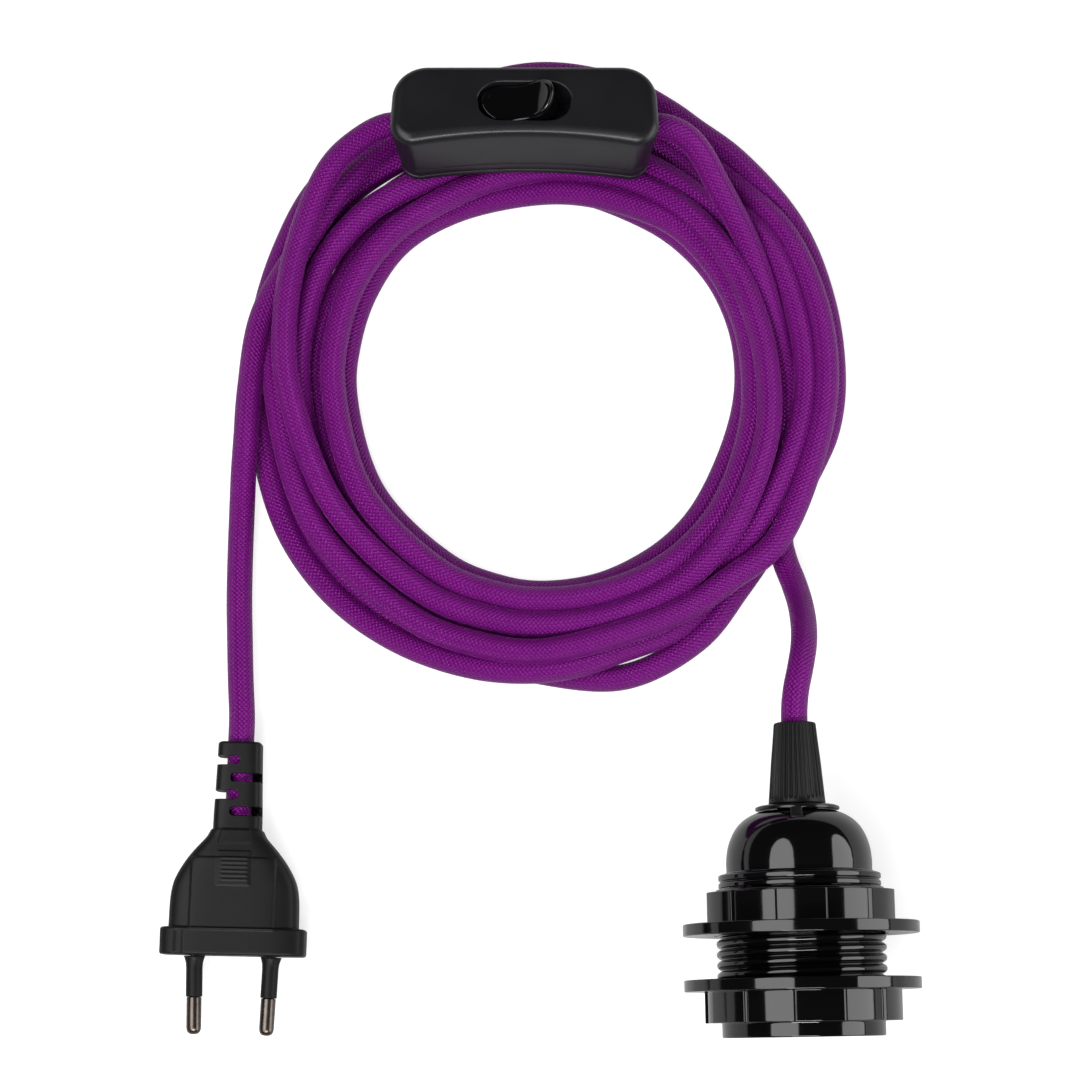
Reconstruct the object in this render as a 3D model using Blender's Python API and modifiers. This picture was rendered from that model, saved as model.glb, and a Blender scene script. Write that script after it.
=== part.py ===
"""Corded pendant light set, laid out flat: lamp holder, coiled cord, cord switch and plug.

Metres, +Z up. The holder lies on the rims of its two shade rings, with its axis along Y
and its mouth towards -Y. The origin is the middle of the holder's footprint.
"""

import math

import bmesh
import bpy
from mathutils import Matrix, Vector

# Gap kept between pieces that touch
GAP = 0.0003

# Holder, measured along its axis from the mouth
RING_FLANGE_RADIUS = 0.0279
RING_FLANGE_THICK = 0.0028
RING_BODY_LENGTH = 0.0073
RING_STEP_DEPTH = 0.0009
RING_STEPS = 12
LOWER_RING_START = 0.0035
LOWER_RING_RADIUS = 0.0233
LOWER_RING_PHASE = math.radians(-9.5)
UPPER_RING_FLANGE_START = 0.0238
UPPER_RING_RADIUS = 0.0228
UPPER_RING_PHASE = math.radians(-18.5)
THREAD_RADIUS = 0.0200
THREAD_PITCH = 0.0025
THREAD_DEPTH = 0.0012
MOUTH_RADIUS = 0.0192
SOCKET_RADIUS = 0.0133
SOCKET_DEPTH = 0.0245
CHAMBER_RADIUS = 0.0148
LEDGE_START = 0.0349
LEDGE_LENGTH = 0.0031
NECK_RADIUS = 0.0165
DOME_RADIUS = 0.01725
DOME_TOP = 0.0528
DOME_WALL = 0.0021
COLLAR_RADIUS = 0.0100
COLLAR_THICK = 0.0012
STEM_RADIUS = 0.0048
GRIP_BASE_RADIUS = 0.0068
GRIP_END_RADIUS = 0.0050
GRIP_LENGTH = 0.0200
HOLDER_LENGTH = DOME_TOP + COLLAR_THICK + GRIP_LENGTH
BLOCK_THICK = 0.0085

# Cord
CORD_DIAMETER = 0.0064
CORD_BORE_RADIUS = 0.0036
CORE_RADIUS = 0.0011
COIL_CENTRE = (-0.0576, 0.1244)
COIL_INNER_RADIUS = 0.0472
COIL_OUTER_RADIUS = 0.0780
COIL_HEIGHT = 0.0121

# Plug, measured from the middle of its front face
PLUG_PLACE = (-0.1362, -0.0152)
PLUG_TURN = math.radians(-2.3)
PLUG_WIDTH = 0.0353
PLUG_THICK = 0.0137
PLUG_FLANGE_LENGTH = 0.0066
PLUG_LENGTH = 0.0518
PLUG_BODY_THICK = 0.0124
RELIEF_THICK = 0.0096
PIN_SPACING = 0.0186
PIN_TIP_SPACING = 0.0175
PIN_LENGTH = 0.0190
PIN_RADIUS = 0.0018
PIN_SLEEVE_RADIUS = 0.0020
PIN_SLEEVE_LENGTH = 0.0100

# Cord switch, measured from the middle of its underside
SWITCH_PLACE = (-0.0620, 0.1856, 0.0112)
SWITCH_TILT = math.radians(-16.0)
SWITCH_TURN = math.radians(-1.0)
SWITCH_LENGTH = 0.0660
SWITCH_WIDTH = 0.0230
SWITCH_HEIGHT = 0.0200
SWITCH_HOLLOW = 0.0026
SWITCH_CORNER = 0.0062
SWITCH_DRAFT = 0.0014
SWITCH_PLATE = 0.0022
SWITCH_WALL = 0.0019
OPENING_LENGTH = 0.0226
OPENING_WIDTH = 0.0112
OPENING_OFFSET = 0.0004
ROCKER_PIVOT = 0.0160
ROCKER_PRESS = math.radians(-16.0)
CORD_ENTRY_HEIGHT = 0.0095


for old in list(bpy.data.objects):
    bpy.data.objects.remove(old, do_unlink=True)

scene = bpy.context.scene
scene.unit_settings.system = "METRIC"
parts = bpy.data.collections.new("pendant_light")
scene.collection.children.link(parts)
cutters = bpy.data.collections.new("cutters")
scene.collection.children.link(cutters)


def material(name, colour, roughness, metallic=0.0):
    made = bpy.data.materials.new(name)
    made.use_nodes = True
    shader = made.node_tree.nodes["Principled BSDF"]
    shader.inputs["Base Color"].default_value = (*colour, 1.0)
    shader.inputs["Roughness"].default_value = roughness
    shader.inputs["Metallic"].default_value = metallic
    return made


GLOSSY_BLACK = material("glossy_black_moulding", (0.006, 0.006, 0.007), 0.08)
MATT_BLACK = material("matt_black_plastic", (0.016, 0.016, 0.018), 0.45)
PLUG_BLACK = material("plug_black_vinyl", (0.014, 0.014, 0.015), 0.38)
PURPLE_BRAID = material("purple_textile_braid", (0.16, 0.008, 0.21), 0.75)
CERAMIC = material("white_ceramic", (0.72, 0.70, 0.66), 0.35)
BRASS = material("brass", (0.62, 0.42, 0.16), 0.30, 1.0)
NICKEL = material("nickel_plated_brass", (0.46, 0.43, 0.40), 0.25, 1.0)
STEEL = material("zinc_plated_steel", (0.55, 0.55, 0.56), 0.35, 1.0)
BROWN_CORE = material("brown_core_insulation", (0.10, 0.035, 0.015), 0.5)
BLUE_CORE = material("blue_core_insulation", (0.02, 0.09, 0.35), 0.5)


def empty(name, place, turn, parent=None):
    made = bpy.data.objects.new(name, None)
    made.location = place
    made.rotation_euler = turn
    made.parent = parent
    parts.objects.link(made)
    return made


def add(name, mesh, look, parent=None, place=(0, 0, 0), turn=(0, 0, 0), smooth=True):
    made = bpy.data.objects.new(name, mesh)
    if look is None:
        cutters.objects.link(made)
        made.hide_render = True
        made.display_type = "WIRE"
    else:
        parts.objects.link(made)
        mesh.materials.append(look)
    if smooth:
        mesh.shade_smooth()
        mesh.set_sharp_from_angle(angle=math.radians(35))
    made.parent = parent
    made.location = place
    made.rotation_euler = turn
    return made


def turned(name, profile, look, parent=None, place=(0, 0, 0), turn=(0, 0, 0), steps=40):
    """A closed profile of (radius, height), outer side running down, turned about Z."""
    mesh = bpy.data.meshes.new(name)
    points = [(radius, 0.0, height) for radius, height in profile]
    closed = profile[0][0] > 0.0 or profile[-1][0] > 0.0
    edges = [(i, i + 1) for i in range(len(points) - 1)]
    if closed:
        edges.append((len(points) - 1, 0))
    mesh.from_pydata(points, edges, [])
    made = add(name, mesh, look, parent, place, turn, smooth=False)
    screw = made.modifiers.new("turn", "SCREW")
    screw.steps = steps
    screw.render_steps = steps
    screw.use_merge_vertices = True
    screw.merge_threshold = 0.00001
    screw.use_smooth_shade = True
    return made


def extruded(name, outlines, depth, look, parent=None, place=(0, 0, 0), turn=(0, 0, 0)):
    """Flat outlines, the first round the others, given a depth centred on their plane."""
    curve = bpy.data.curves.new(name, "CURVE")
    curve.dimensions = "2D"
    curve.fill_mode = "BOTH"
    curve.extrude = depth / 2
    for outline in outlines:
        spline = curve.splines.new("POLY")
        spline.points.add(len(outline) - 1)
        spline.use_cyclic_u = True
        for point, (x, y) in zip(spline.points, outline):
            point.co = (x, y, 0.0, 1.0)
    guide = bpy.data.objects.new(name + "_outline", curve)
    scene.collection.objects.link(guide)
    graph = bpy.context.evaluated_depsgraph_get()
    mesh = bpy.data.meshes.new_from_object(guide.evaluated_get(graph))
    bpy.data.objects.remove(guide)
    work = bmesh.new()
    work.from_mesh(mesh)
    bmesh.ops.remove_doubles(work, verts=work.verts, dist=0.000001)
    bmesh.ops.recalc_face_normals(work, faces=work.faces)
    work.to_mesh(mesh)
    work.free()
    mesh.materials.clear()
    return add(name, mesh, look, parent, place, turn)


def lofted(name, sections, look, parent=None, place=(0, 0, 0), turn=(0, 0, 0)):
    """Closed sections with equal point counts, joined in order and capped."""
    work = bmesh.new()
    rings = [[work.verts.new(point) for point in section] for section in sections]
    count = len(rings[0])
    for lower, upper in zip(rings, rings[1:]):
        for i in range(count):
            j = (i + 1) % count
            work.faces.new((lower[i], lower[j], upper[j], upper[i]))
    work.faces.new(list(reversed(rings[0])))
    work.faces.new(rings[-1])
    bmesh.ops.recalc_face_normals(work, faces=work.faces)
    mesh = bpy.data.meshes.new(name)
    work.to_mesh(mesh)
    work.free()
    return add(name, mesh, look, parent, place, turn)


def box(name, low, high, look, parent=None):
    work = bmesh.new()
    bmesh.ops.create_cube(work, size=1.0)
    size = [b - a for a, b in zip(low, high)]
    middle = [(a + b) / 2 for a, b in zip(low, high)]
    bmesh.ops.scale(work, verts=work.verts, vec=size)
    bmesh.ops.translate(work, verts=work.verts, vec=middle)
    mesh = bpy.data.meshes.new(name)
    work.to_mesh(mesh)
    work.free()
    return add(name, mesh, look, parent, smooth=False)


def cylinder(name, radius, start, end, look, parent=None, sides=24):
    """A plain cylinder between two points of its parent's space."""
    start, end = Vector(start), Vector(end)
    axis = end - start
    work = bmesh.new()
    bmesh.ops.create_cone(
        work, cap_ends=True, segments=sides, radius1=radius, radius2=radius, depth=axis.length
    )
    turn = axis.to_track_quat("Z", "Y").to_matrix().to_4x4()
    bmesh.ops.transform(
        work, verts=work.verts, matrix=Matrix.Translation((start + end) / 2) @ turn
    )
    mesh = bpy.data.meshes.new(name)
    work.to_mesh(mesh)
    work.free()
    return add(name, mesh, look, parent)


def boolean(target, tool, operation="DIFFERENCE"):
    made = target.modifiers.new(operation.lower(), "BOOLEAN")
    made.operation = operation
    made.solver = "EXACT"
    made.object = tool
    return made


def smooth_route(route, spacing):
    """Points at an even spacing along a smooth curve through hand-chosen route points."""
    route = [Vector(point) for point in route]
    ends = [route[0] * 2 - route[1], *route, route[-1] * 2 - route[-2]]
    fine = []
    for a, b, c, d in zip(ends, ends[1:], ends[2:], ends[3:]):
        for step in range(20):
            t = step / 20
            fine.append(
                0.5
                * (
                    2 * b
                    + (c - a) * t
                    + (2 * a - 5 * b + 4 * c - d) * t**2
                    + (3 * b - a - 3 * c + d) * t**3
                )
            )
    fine.append(route[-1])
    length = sum((q - p).length for p, q in zip(fine, fine[1:]))
    count = max(2, round(length / spacing))
    points = [fine[0]]
    walked = 0.0
    for p, q in zip(fine, fine[1:]):
        walked += (q - p).length
        while len(points) < count and walked >= len(points) * length / count:
            points.append(q.copy())
    points.append(fine[-1])
    return points


def tube(name, route, radius, look, spacing=0.014, resolution=3, parent=None):
    curve = bpy.data.curves.new(name, "CURVE")
    curve.dimensions = "3D"
    curve.bevel_depth = radius
    curve.bevel_resolution = resolution
    curve.use_fill_caps = True
    spline = curve.splines.new("POLY")
    points = smooth_route(route, spacing)
    spline.points.add(len(points) - 1)
    for made, point in zip(spline.points, points):
        made.co = (*point, 1.0)
    curve.materials.append(look)
    made = bpy.data.objects.new(name, curve)
    made.parent = parent
    parts.objects.link(made)
    return made


# Holder axis: local Z runs from the mouth towards the cord, local -Y is up
holder = empty(
    "holder_axis", (0.0, -HOLDER_LENGTH / 2, RING_FLANGE_RADIUS), (math.radians(-90), 0, 0)
)

# Outer sleeve: screw-thread outside for the shade rings, lamp cavity inside
ring_gap_low = LOWER_RING_START + RING_BODY_LENGTH + RING_FLANGE_THICK
grooves = []
height = UPPER_RING_FLANGE_START - 0.0006
while height - THREAD_PITCH > ring_gap_low:
    grooves += [
        (THREAD_RADIUS, height),
        (THREAD_RADIUS - THREAD_DEPTH, height - 0.36 * THREAD_PITCH),
        (THREAD_RADIUS - THREAD_DEPTH, height - 0.52 * THREAD_PITCH),
        (THREAD_RADIUS, height - 0.88 * THREAD_PITCH),
    ]
    height -= THREAD_PITCH
sleeve_shoulder = LEDGE_START - GAP
sleeve_profile = [
    (NECK_RADIUS, sleeve_shoulder + LEDGE_LENGTH),
    (NECK_RADIUS, sleeve_shoulder),
    (THREAD_RADIUS, sleeve_shoulder),
    *grooves,
    (THREAD_RADIUS, 0.0030),
    (MOUTH_RADIUS, 0.0022),
    (MOUTH_RADIUS, 0.0005),
    (MOUTH_RADIUS - 0.0005, 0.0),
    (SOCKET_RADIUS + 0.0008, 0.0),
    (SOCKET_RADIUS, 0.0008),
    (SOCKET_RADIUS, SOCKET_DEPTH),
    (CHAMBER_RADIUS, SOCKET_DEPTH),
    (CHAMBER_RADIUS, sleeve_shoulder + LEDGE_LENGTH),
]
turned("threaded_sleeve", sleeve_profile, GLOSSY_BLACK, holder, steps=40)

# Cap: ledge with a groove, straight skirt and dome, with a hole for the threaded stem
ledge_top = LEDGE_START + LEDGE_LENGTH
groove_at = LEDGE_START + 0.0015
dome_curve = [
    (0.0092, DOME_TOP),
    (0.0108, DOME_TOP - 0.0006),
    (0.0131, DOME_TOP - 0.0020),
    (0.0148, DOME_TOP - 0.0038),
    (0.0161, DOME_TOP - 0.0062),
    (0.0169, DOME_TOP - 0.0088),
    (DOME_RADIUS, DOME_TOP - 0.0118),
]
cap_bore = STEM_RADIUS + 0.0002 + GAP
cap_profile = [
    (cap_bore, DOME_TOP),
    *dome_curve,
    (DOME_RADIUS, ledge_top),
    (MOUTH_RADIUS - 0.0003, ledge_top),
    (MOUTH_RADIUS, ledge_top - 0.0003),
    (MOUTH_RADIUS, groove_at + 0.0003),
    (MOUTH_RADIUS - 0.0004, groove_at),
    (MOUTH_RADIUS, groove_at - 0.0003),
    (MOUTH_RADIUS, LEDGE_START),
    (NECK_RADIUS + GAP, LEDGE_START),
    (NECK_RADIUS + GAP, ledge_top + GAP),
    (DOME_RADIUS - DOME_WALL, ledge_top + GAP),
    (DOME_RADIUS - DOME_WALL, DOME_TOP - 0.0108),
    (0.0138, DOME_TOP - 0.0064),
    (0.0104, DOME_TOP - 0.0032),
    (0.0080, DOME_TOP - 0.0024),
    (cap_bore, DOME_TOP - 0.0024),
]
turned("cap", cap_profile, GLOSSY_BLACK, holder, steps=36)

# Cord grip stem: threaded tube with a collar, through the cap's hole
collar_low = DOME_TOP + GAP
collar_top = collar_low + COLLAR_THICK
stem_end = HOLDER_LENGTH - 0.23 * GRIP_LENGTH
stem_profile = [
    (CORD_BORE_RADIUS, stem_end),
    (STEM_RADIUS - 0.0004, stem_end),
    (STEM_RADIUS, stem_end - 0.0020),
    (STEM_RADIUS, collar_top),
    (COLLAR_RADIUS - 0.0010, collar_top),
    (COLLAR_RADIUS, collar_low + 0.0006),
    (COLLAR_RADIUS - 0.0006, collar_low),
    (STEM_RADIUS, collar_low),
    (STEM_RADIUS, DOME_TOP - 0.0070),
    (CORD_BORE_RADIUS, DOME_TOP - 0.0070),
]
turned("cord_grip_stem", stem_profile, MATT_BLACK, holder, steps=24)

# Lock nut inside the cap
nut_low = DOME_TOP - 0.0024 - GAP - 0.0028
hexagon = [
    (0.0075 * math.cos(math.radians(60 * i)), 0.0075 * math.sin(math.radians(60 * i)))
    for i in range(6)
]
nut_hole = [
    (cap_bore * math.cos(math.radians(15 * i)), cap_bore * math.sin(math.radians(15 * i)))
    for i in range(24)
]
extruded("lock_nut", [hexagon, nut_hole], 0.0028, STEEL, holder, (0, 0, nut_low + 0.0014))

# Cord grip nut: tapered outside, squeezing the stem's end on the cord
grip_low = collar_top + GAP
grip_profile = [
    (CORD_BORE_RADIUS, HOLDER_LENGTH),
    (GRIP_END_RADIUS - 0.0004, HOLDER_LENGTH),
    (GRIP_END_RADIUS, HOLDER_LENGTH - 0.0004),
    (GRIP_END_RADIUS + 0.0004, HOLDER_LENGTH - 0.215 * GRIP_LENGTH),
    (GRIP_END_RADIUS + 0.0009, HOLDER_LENGTH - 0.450 * GRIP_LENGTH),
    (GRIP_BASE_RADIUS - 0.0005, HOLDER_LENGTH - 0.685 * GRIP_LENGTH),
    (GRIP_BASE_RADIUS, grip_low),
    (STEM_RADIUS + GAP, grip_low),
    (STEM_RADIUS + GAP, stem_end + GAP),
    (CORD_BORE_RADIUS, stem_end + GAP),
]
turned("cord_grip_nut", grip_profile, MATT_BLACK, holder, steps=24)


def shade_ring(name, start, flange_first, radius, phase):
    """A castellated ring with a flange, bored to run on the sleeve's thread."""
    axis = empty(name + "_axis", (0, 0, start), (0, 0, 0), holder)
    bore = THREAD_RADIUS + 0.00035
    whole = RING_BODY_LENGTH + RING_FLANGE_THICK
    flange_low = 0.0 if flange_first else RING_BODY_LENGTH
    flange_high = flange_low + RING_FLANGE_THICK
    flange = turned(
        name,
        [
            (bore, flange_high),
            (RING_FLANGE_RADIUS - 0.0002, flange_high),
            (RING_FLANGE_RADIUS, flange_high - 0.0002),
            (RING_FLANGE_RADIUS, flange_low + 0.0002),
            (RING_FLANGE_RADIUS - 0.0002, flange_low),
            (bore, flange_low),
        ],
        GLOSSY_BLACK,
        axis,
        steps=56,
    )
    outer = []
    pitch = 2 * math.pi / RING_STEPS
    for step in range(RING_STEPS):
        level = radius if step % 2 == 0 else radius - RING_STEP_DEPTH
        for part in range(4):
            angle = phase + step * pitch + 0.004 + part / 3 * (pitch - 0.008)
            outer.append((level * math.sin(angle), -level * math.cos(angle)))
    inner = [
        (bore * math.cos(2 * math.pi * i / 56), bore * math.sin(2 * math.pi * i / 56))
        for i in range(56)
    ]
    overlap = 0.0008
    body_low = RING_FLANGE_THICK - overlap if flange_first else 0.0
    depth = RING_BODY_LENGTH + overlap
    body = extruded(
        name + "_body", [outer, inner], depth, None, axis, (0, 0, body_low + depth / 2)
    )
    boolean(flange, body, "UNION")
    return flange, whole


shade_ring("shade_ring_lower", LOWER_RING_START, False, LOWER_RING_RADIUS, LOWER_RING_PHASE)
shade_ring(
    "shade_ring_upper", UPPER_RING_FLANGE_START, True, UPPER_RING_RADIUS, UPPER_RING_PHASE
)

# Terminal block behind the lamp cavity
block_low = SOCKET_DEPTH + GAP
block_high = block_low + BLOCK_THICK
block_radius = CHAMBER_RADIUS - GAP
block = turned(
    "terminal_block",
    [
        (0.0, block_high),
        (block_radius - 0.0004, block_high),
        (block_radius, block_high - 0.0004),
        (block_radius, block_low),
        (0.0, block_low),
    ],
    CERAMIC,
    holder,
    steps=36,
)
for side, x in (("centre", -0.0075), ("side", 0.0075)):
    hole = cylinder(
        "block_hole_" + side, 0.0016, (x, 0, block_low - 0.001), (x, 0, block_high + 0.001), None,
        holder, 16
    )
    boolean(block, hole)


def strip(name, path, thick, width, look, parent, across=0.0):
    """A bent metal strip: the path lies in the XZ plane, the width runs along Y."""
    left, right = [], []
    for i, (x, z) in enumerate(path):
        a = Vector(path[max(i - 1, 0)])
        b = Vector(path[min(i + 1, len(path) - 1)])
        along = (b - a).normalized()
        side = Vector((-along.y, along.x)) * thick / 2
        left.append((x + side.x, z + side.y))
        right.append((x - side.x, z - side.y))
    outline = left + right[::-1]
    return extruded(
        name, [outline], width, look, parent, (0, across, 0), (math.radians(90), 0, 0)
    )


# Contacts of the lamp cavity, both held to the block's front face by the through screws
contact_low = block_low - GAP - 0.00025
centre = strip(
    "centre_contact",
    [(-0.0100, contact_low), (-0.0050, contact_low), (-0.0030, contact_low - 0.0009),
     (0.0000, contact_low - 0.0022), (0.0022, contact_low - 0.0018)],
    0.0005, 0.0050, BRASS, holder,
)
side_contact = strip(
    "side_contact",
    [(0.0050, contact_low), (0.0098, contact_low), (0.0113, contact_low - 0.0012),
     (0.0118, contact_low - 0.0042), (0.0110, contact_low - 0.0052)],
    0.0005, 0.0050, BRASS, holder,
)
for contact, x in ((centre, -0.0075), (side_contact, 0.0075)):
    hole = cylinder(
        contact.name + "_hole", 0.0016, (x, 0, contact_low - 0.002), (x, 0, contact_low + 0.002),
        None, holder, 16
    )
    boolean(contact, hole)

# Terminal screws: pan heads behind the block, shanks down through block and contact
for name, x in (("terminal_screw_centre", -0.0075), ("terminal_screw_side", 0.0075)):
    turned(
        name,
        [
            (0.0, block_high + GAP + 0.0020),
            (0.0021, block_high + GAP + 0.0020),
            (0.0026, block_high + GAP + 0.0014),
            (0.0026, block_high + GAP),
            (0.0012, block_high + GAP),
            (0.0012, contact_low - 0.0006),
            (0.0, contact_low - 0.0006),
        ],
        STEEL,
        holder,
        (x, 0, 0),
        steps=16,
    )

# Cord inside the holder: two insulated cores from the cord's end to the screws
cord_end = DOME_TOP - 0.0078
for name, side, look in (("core_brown", -1, BROWN_CORE), ("core_blue", 1, BLUE_CORE)):
    tube(
        name,
        [
            (side * 0.0014, 0.0, cord_end - 0.0005),
            (side * 0.0016, 0.0004, cord_end - 0.0016),
            (side * 0.0026, 0.0014, cord_end - 0.0028),
            (side * 0.0050, 0.0026, cord_end - 0.0042),
            (side * 0.0088, 0.0030, cord_end - 0.0056),
            (side * 0.0108, 0.0026, block_high + 0.0022),
            (side * 0.0110, 0.0022, block_high + CORE_RADIUS * 0.4 + 0.0011),
        ],
        CORE_RADIUS,
        look,
        spacing=0.0020,
        resolution=2,
        parent=holder,
    )

# Plug: local Y runs from the front face towards the cord, local Z is up
plug = empty("plug_axis", (*PLUG_PLACE, PLUG_THICK / 2), (0, 0, PLUG_TURN))


def plug_section(y, half_width, half_thick, power, count=28):
    """A superellipse section of the plug's moulding at one station."""
    section = []
    for i in range(count):
        angle = 2 * math.pi * (i + 0.5) / count
        c, s = math.cos(angle), math.sin(angle)
        x = half_width * math.copysign(abs(c) ** (2 / power), c)
        z = half_thick * math.copysign(abs(s) ** (2 / power), s)
        section.append((x, y, z))
    return section


body_half = PLUG_BODY_THICK / 2
relief_half = RELIEF_THICK / 2
flange_half = PLUG_THICK / 2
plug_body = lofted(
    "plug_body",
    [
        plug_section(0.0000, PLUG_WIDTH / 2 - 0.0004, flange_half - 0.0004, 5.0),
        plug_section(0.0004, PLUG_WIDTH / 2, flange_half, 5.0),
        plug_section(PLUG_FLANGE_LENGTH - 0.0003, PLUG_WIDTH / 2, flange_half, 5.0),
        plug_section(PLUG_FLANGE_LENGTH, PLUG_WIDTH / 2 - 0.0003, flange_half - 0.0003, 5.0),
        plug_section(PLUG_FLANGE_LENGTH + 0.0001, 0.0157, body_half, 4.5),
        plug_section(0.0140, 0.0155, body_half, 4.5),
        plug_section(0.0170, 0.0150, body_half, 4.5),
        plug_section(0.0189, 0.0143, body_half, 4.5),
        plug_section(0.0208, 0.0133, body_half, 4.5),
        plug_section(0.0227, 0.0121, body_half, 4.5),
        plug_section(0.0247, 0.0106, body_half - 0.0002, 4.5),
        plug_section(0.0267, 0.0089, body_half - 0.0005, 4.5),
        plug_section(0.0286, 0.0075, body_half - 0.0008, 4.5),
        plug_section(0.0315, 0.0063, relief_half + 0.0002, 4.5),
        plug_section(0.0345, 0.0058, relief_half, 4.5),
        plug_section(0.0400, 0.0056, relief_half, 4.5),
        plug_section(0.0470, 0.0054, relief_half, 4.5),
        plug_section(PLUG_LENGTH - 0.0005, 0.0053, relief_half, 4.5),
        plug_section(PLUG_LENGTH, 0.0048, relief_half - 0.0005, 4.5),
    ],
    PLUG_BLACK,
    plug,
)
relief_bore = cylinder(
    "relief_bore", CORD_BORE_RADIUS, (0, 0.0300, 0), (0, PLUG_LENGTH + 0.002, 0), None, plug
)
boolean(plug_body, relief_bore)
for index, (y, side) in enumerate(((0.0472, -1), (0.0430, 1), (0.0388, -1), (0.0348, 1))):
    reach = 0.0004 if side < 0 else -0.0018
    low, high = sorted((side * 0.0080, reach))
    slot = box(
        f"relief_slot_{index}", (low, y - 0.0011, -0.010), (high, y + 0.0011, 0.010), None, plug
    )
    boolean(plug_body, slot)

# Pins with their insulating sleeves, leaning together a little
pin_root = 0.0080
for name, side in (("left", -1), ("right", 1)):
    foot = Vector((side * PIN_SPACING / 2, 0.0, 0.0))
    tip = Vector((side * PIN_TIP_SPACING / 2, -PIN_LENGTH, 0.0))
    along = (tip - foot).normalized()
    lean = math.atan2(along.x, -along.y)
    axis = empty(f"pin_axis_{name}", foot, (math.radians(90), 0, lean), plug)
    bare_end = PIN_LENGTH
    turned(
        f"pin_{name}",
        [
            (0.0, bare_end),
            (0.0008, bare_end - 0.0001),
            (0.0014, bare_end - 0.0005),
            (0.0017, bare_end - 0.0011),
            (PIN_RADIUS, bare_end - 0.0018),
            (PIN_RADIUS, PIN_SLEEVE_LENGTH + GAP),
            (PIN_RADIUS - 0.0006, PIN_SLEEVE_LENGTH + GAP),
            (PIN_RADIUS - 0.0006, -pin_root),
            (0.0, -pin_root),
        ],
        NICKEL,
        axis,
        steps=20,
    )
    sleeve_bore = PIN_RADIUS - 0.0006 + GAP
    turned(
        f"pin_sleeve_{name}",
        [
            (sleeve_bore, PIN_SLEEVE_LENGTH),
            (PIN_SLEEVE_RADIUS - 0.0002, PIN_SLEEVE_LENGTH),
            (PIN_SLEEVE_RADIUS, PIN_SLEEVE_LENGTH - 0.0002),
            (PIN_SLEEVE_RADIUS, GAP),
            (sleeve_bore, GAP),
        ],
        PLUG_BLACK,
        axis,
        steps=20,
    )
    seat = turned(
        f"pin_seat_{name}",
        [
            (0.0, 0.0010),
            (sleeve_bore, 0.0010),
            (sleeve_bore, -pin_root - GAP),
            (0.0, -pin_root - GAP),
        ],
        None,
        axis,
        steps=20,
    )
    boolean(plug_body, seat)

# Cord switch: local X along the cord, local Z out of the rocker's face
switch = empty("switch_axis", SWITCH_PLACE, (SWITCH_TILT, 0, SWITCH_TURN))


def switch_outline(inset, z, corner_parts=5, side_parts=10):
    """Rounded rectangle with one long side (-Y) hollowed, drawn in by an inset."""
    half_length = SWITCH_LENGTH / 2 - inset
    half_width = SWITCH_WIDTH / 2 - inset
    corner = max(SWITCH_CORNER - inset, 0.0012)
    hollow = SWITCH_HOLLOW * (1 - 0.2 * inset / SWITCH_DRAFT if inset < SWITCH_DRAFT else 0.8)
    points = []
    for cx, cy, start in (
        (half_length - corner, half_width - corner, 0),
        (corner - half_length, half_width - corner, 90),
        (corner - half_length, corner - half_width, 180),
        (half_length - corner, corner - half_width, 270),
    ):
        for part in range(corner_parts + 1):
            angle = math.radians(start + 90 * part / corner_parts)
            points.append((cx + corner * math.cos(angle), cy + corner * math.sin(angle)))
        if start == 180:
            straight = half_length - corner
            for part in range(1, side_parts):
                x = -straight + 2 * straight * part / side_parts
                points.append((x, -half_width + hollow * (1 - (x / straight) ** 2)))
    return [(x, y, z) for x, y in points]


def draft_at(z):
    return SWITCH_DRAFT * (1 - z / SWITCH_HEIGHT)


cover_low = SWITCH_PLATE + GAP
cover = lofted(
    "switch_cover",
    [
        switch_outline(draft_at(cover_low), cover_low),
        switch_outline(draft_at(SWITCH_HEIGHT - 0.0014), SWITCH_HEIGHT - 0.0014),
        switch_outline(0.0004, SWITCH_HEIGHT - 0.0004),
        switch_outline(0.0013, SWITCH_HEIGHT),
    ],
    MATT_BLACK,
    switch,
)
ceiling = SWITCH_HEIGHT - SWITCH_WALL
cavity = lofted(
    "cover_cavity",
    [
        switch_outline(draft_at(0.0) + SWITCH_WALL, cover_low - 0.001),
        switch_outline(draft_at(ceiling) + SWITCH_WALL, ceiling),
    ],
    None,
    switch,
)


def stadium(length, width, parts_each=9):
    radius = width / 2
    straight = length / 2 - radius
    points = []
    for side, start in ((1, -90), (-1, 90)):
        for part in range(parts_each + 1):
            angle = math.radians(start + 180 * part / parts_each)
            points.append((side * straight + radius * math.cos(angle), radius * math.sin(angle)))
    return points


well_low = 0.0122
well = extruded(
    "rocker_well",
    [stadium(OPENING_LENGTH + 0.0024, OPENING_WIDTH + 0.0024)],
    ceiling + 0.0006 - well_low,
    None,
    switch,
    (0, OPENING_OFFSET, (ceiling + 0.0006 + well_low) / 2),
)
opening = extruded(
    "rocker_opening",
    [stadium(OPENING_LENGTH, OPENING_WIDTH)],
    0.0140,
    None,
    switch,
    (0, OPENING_OFFSET, SWITCH_HEIGHT - 0.0050),
)
trunnion_hole = cylinder(
    "trunnion_hole",
    0.0015,
    (0, OPENING_OFFSET - 0.0072, ROCKER_PIVOT),
    (0, OPENING_OFFSET + 0.0072, ROCKER_PIVOT),
    None,
    switch,
    16,
)
cord_hole = cylinder(
    "cord_hole",
    CORD_BORE_RADIUS,
    (-0.040, 0, CORD_ENTRY_HEIGHT),
    (0.040, 0, CORD_ENTRY_HEIGHT),
    None,
    switch,
)
boolean(cover, cavity)
boolean(cover, well, "UNION")
boolean(cover, opening)
boolean(cover, trunnion_hole)
boolean(cover, cord_hole)
posts = []
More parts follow.
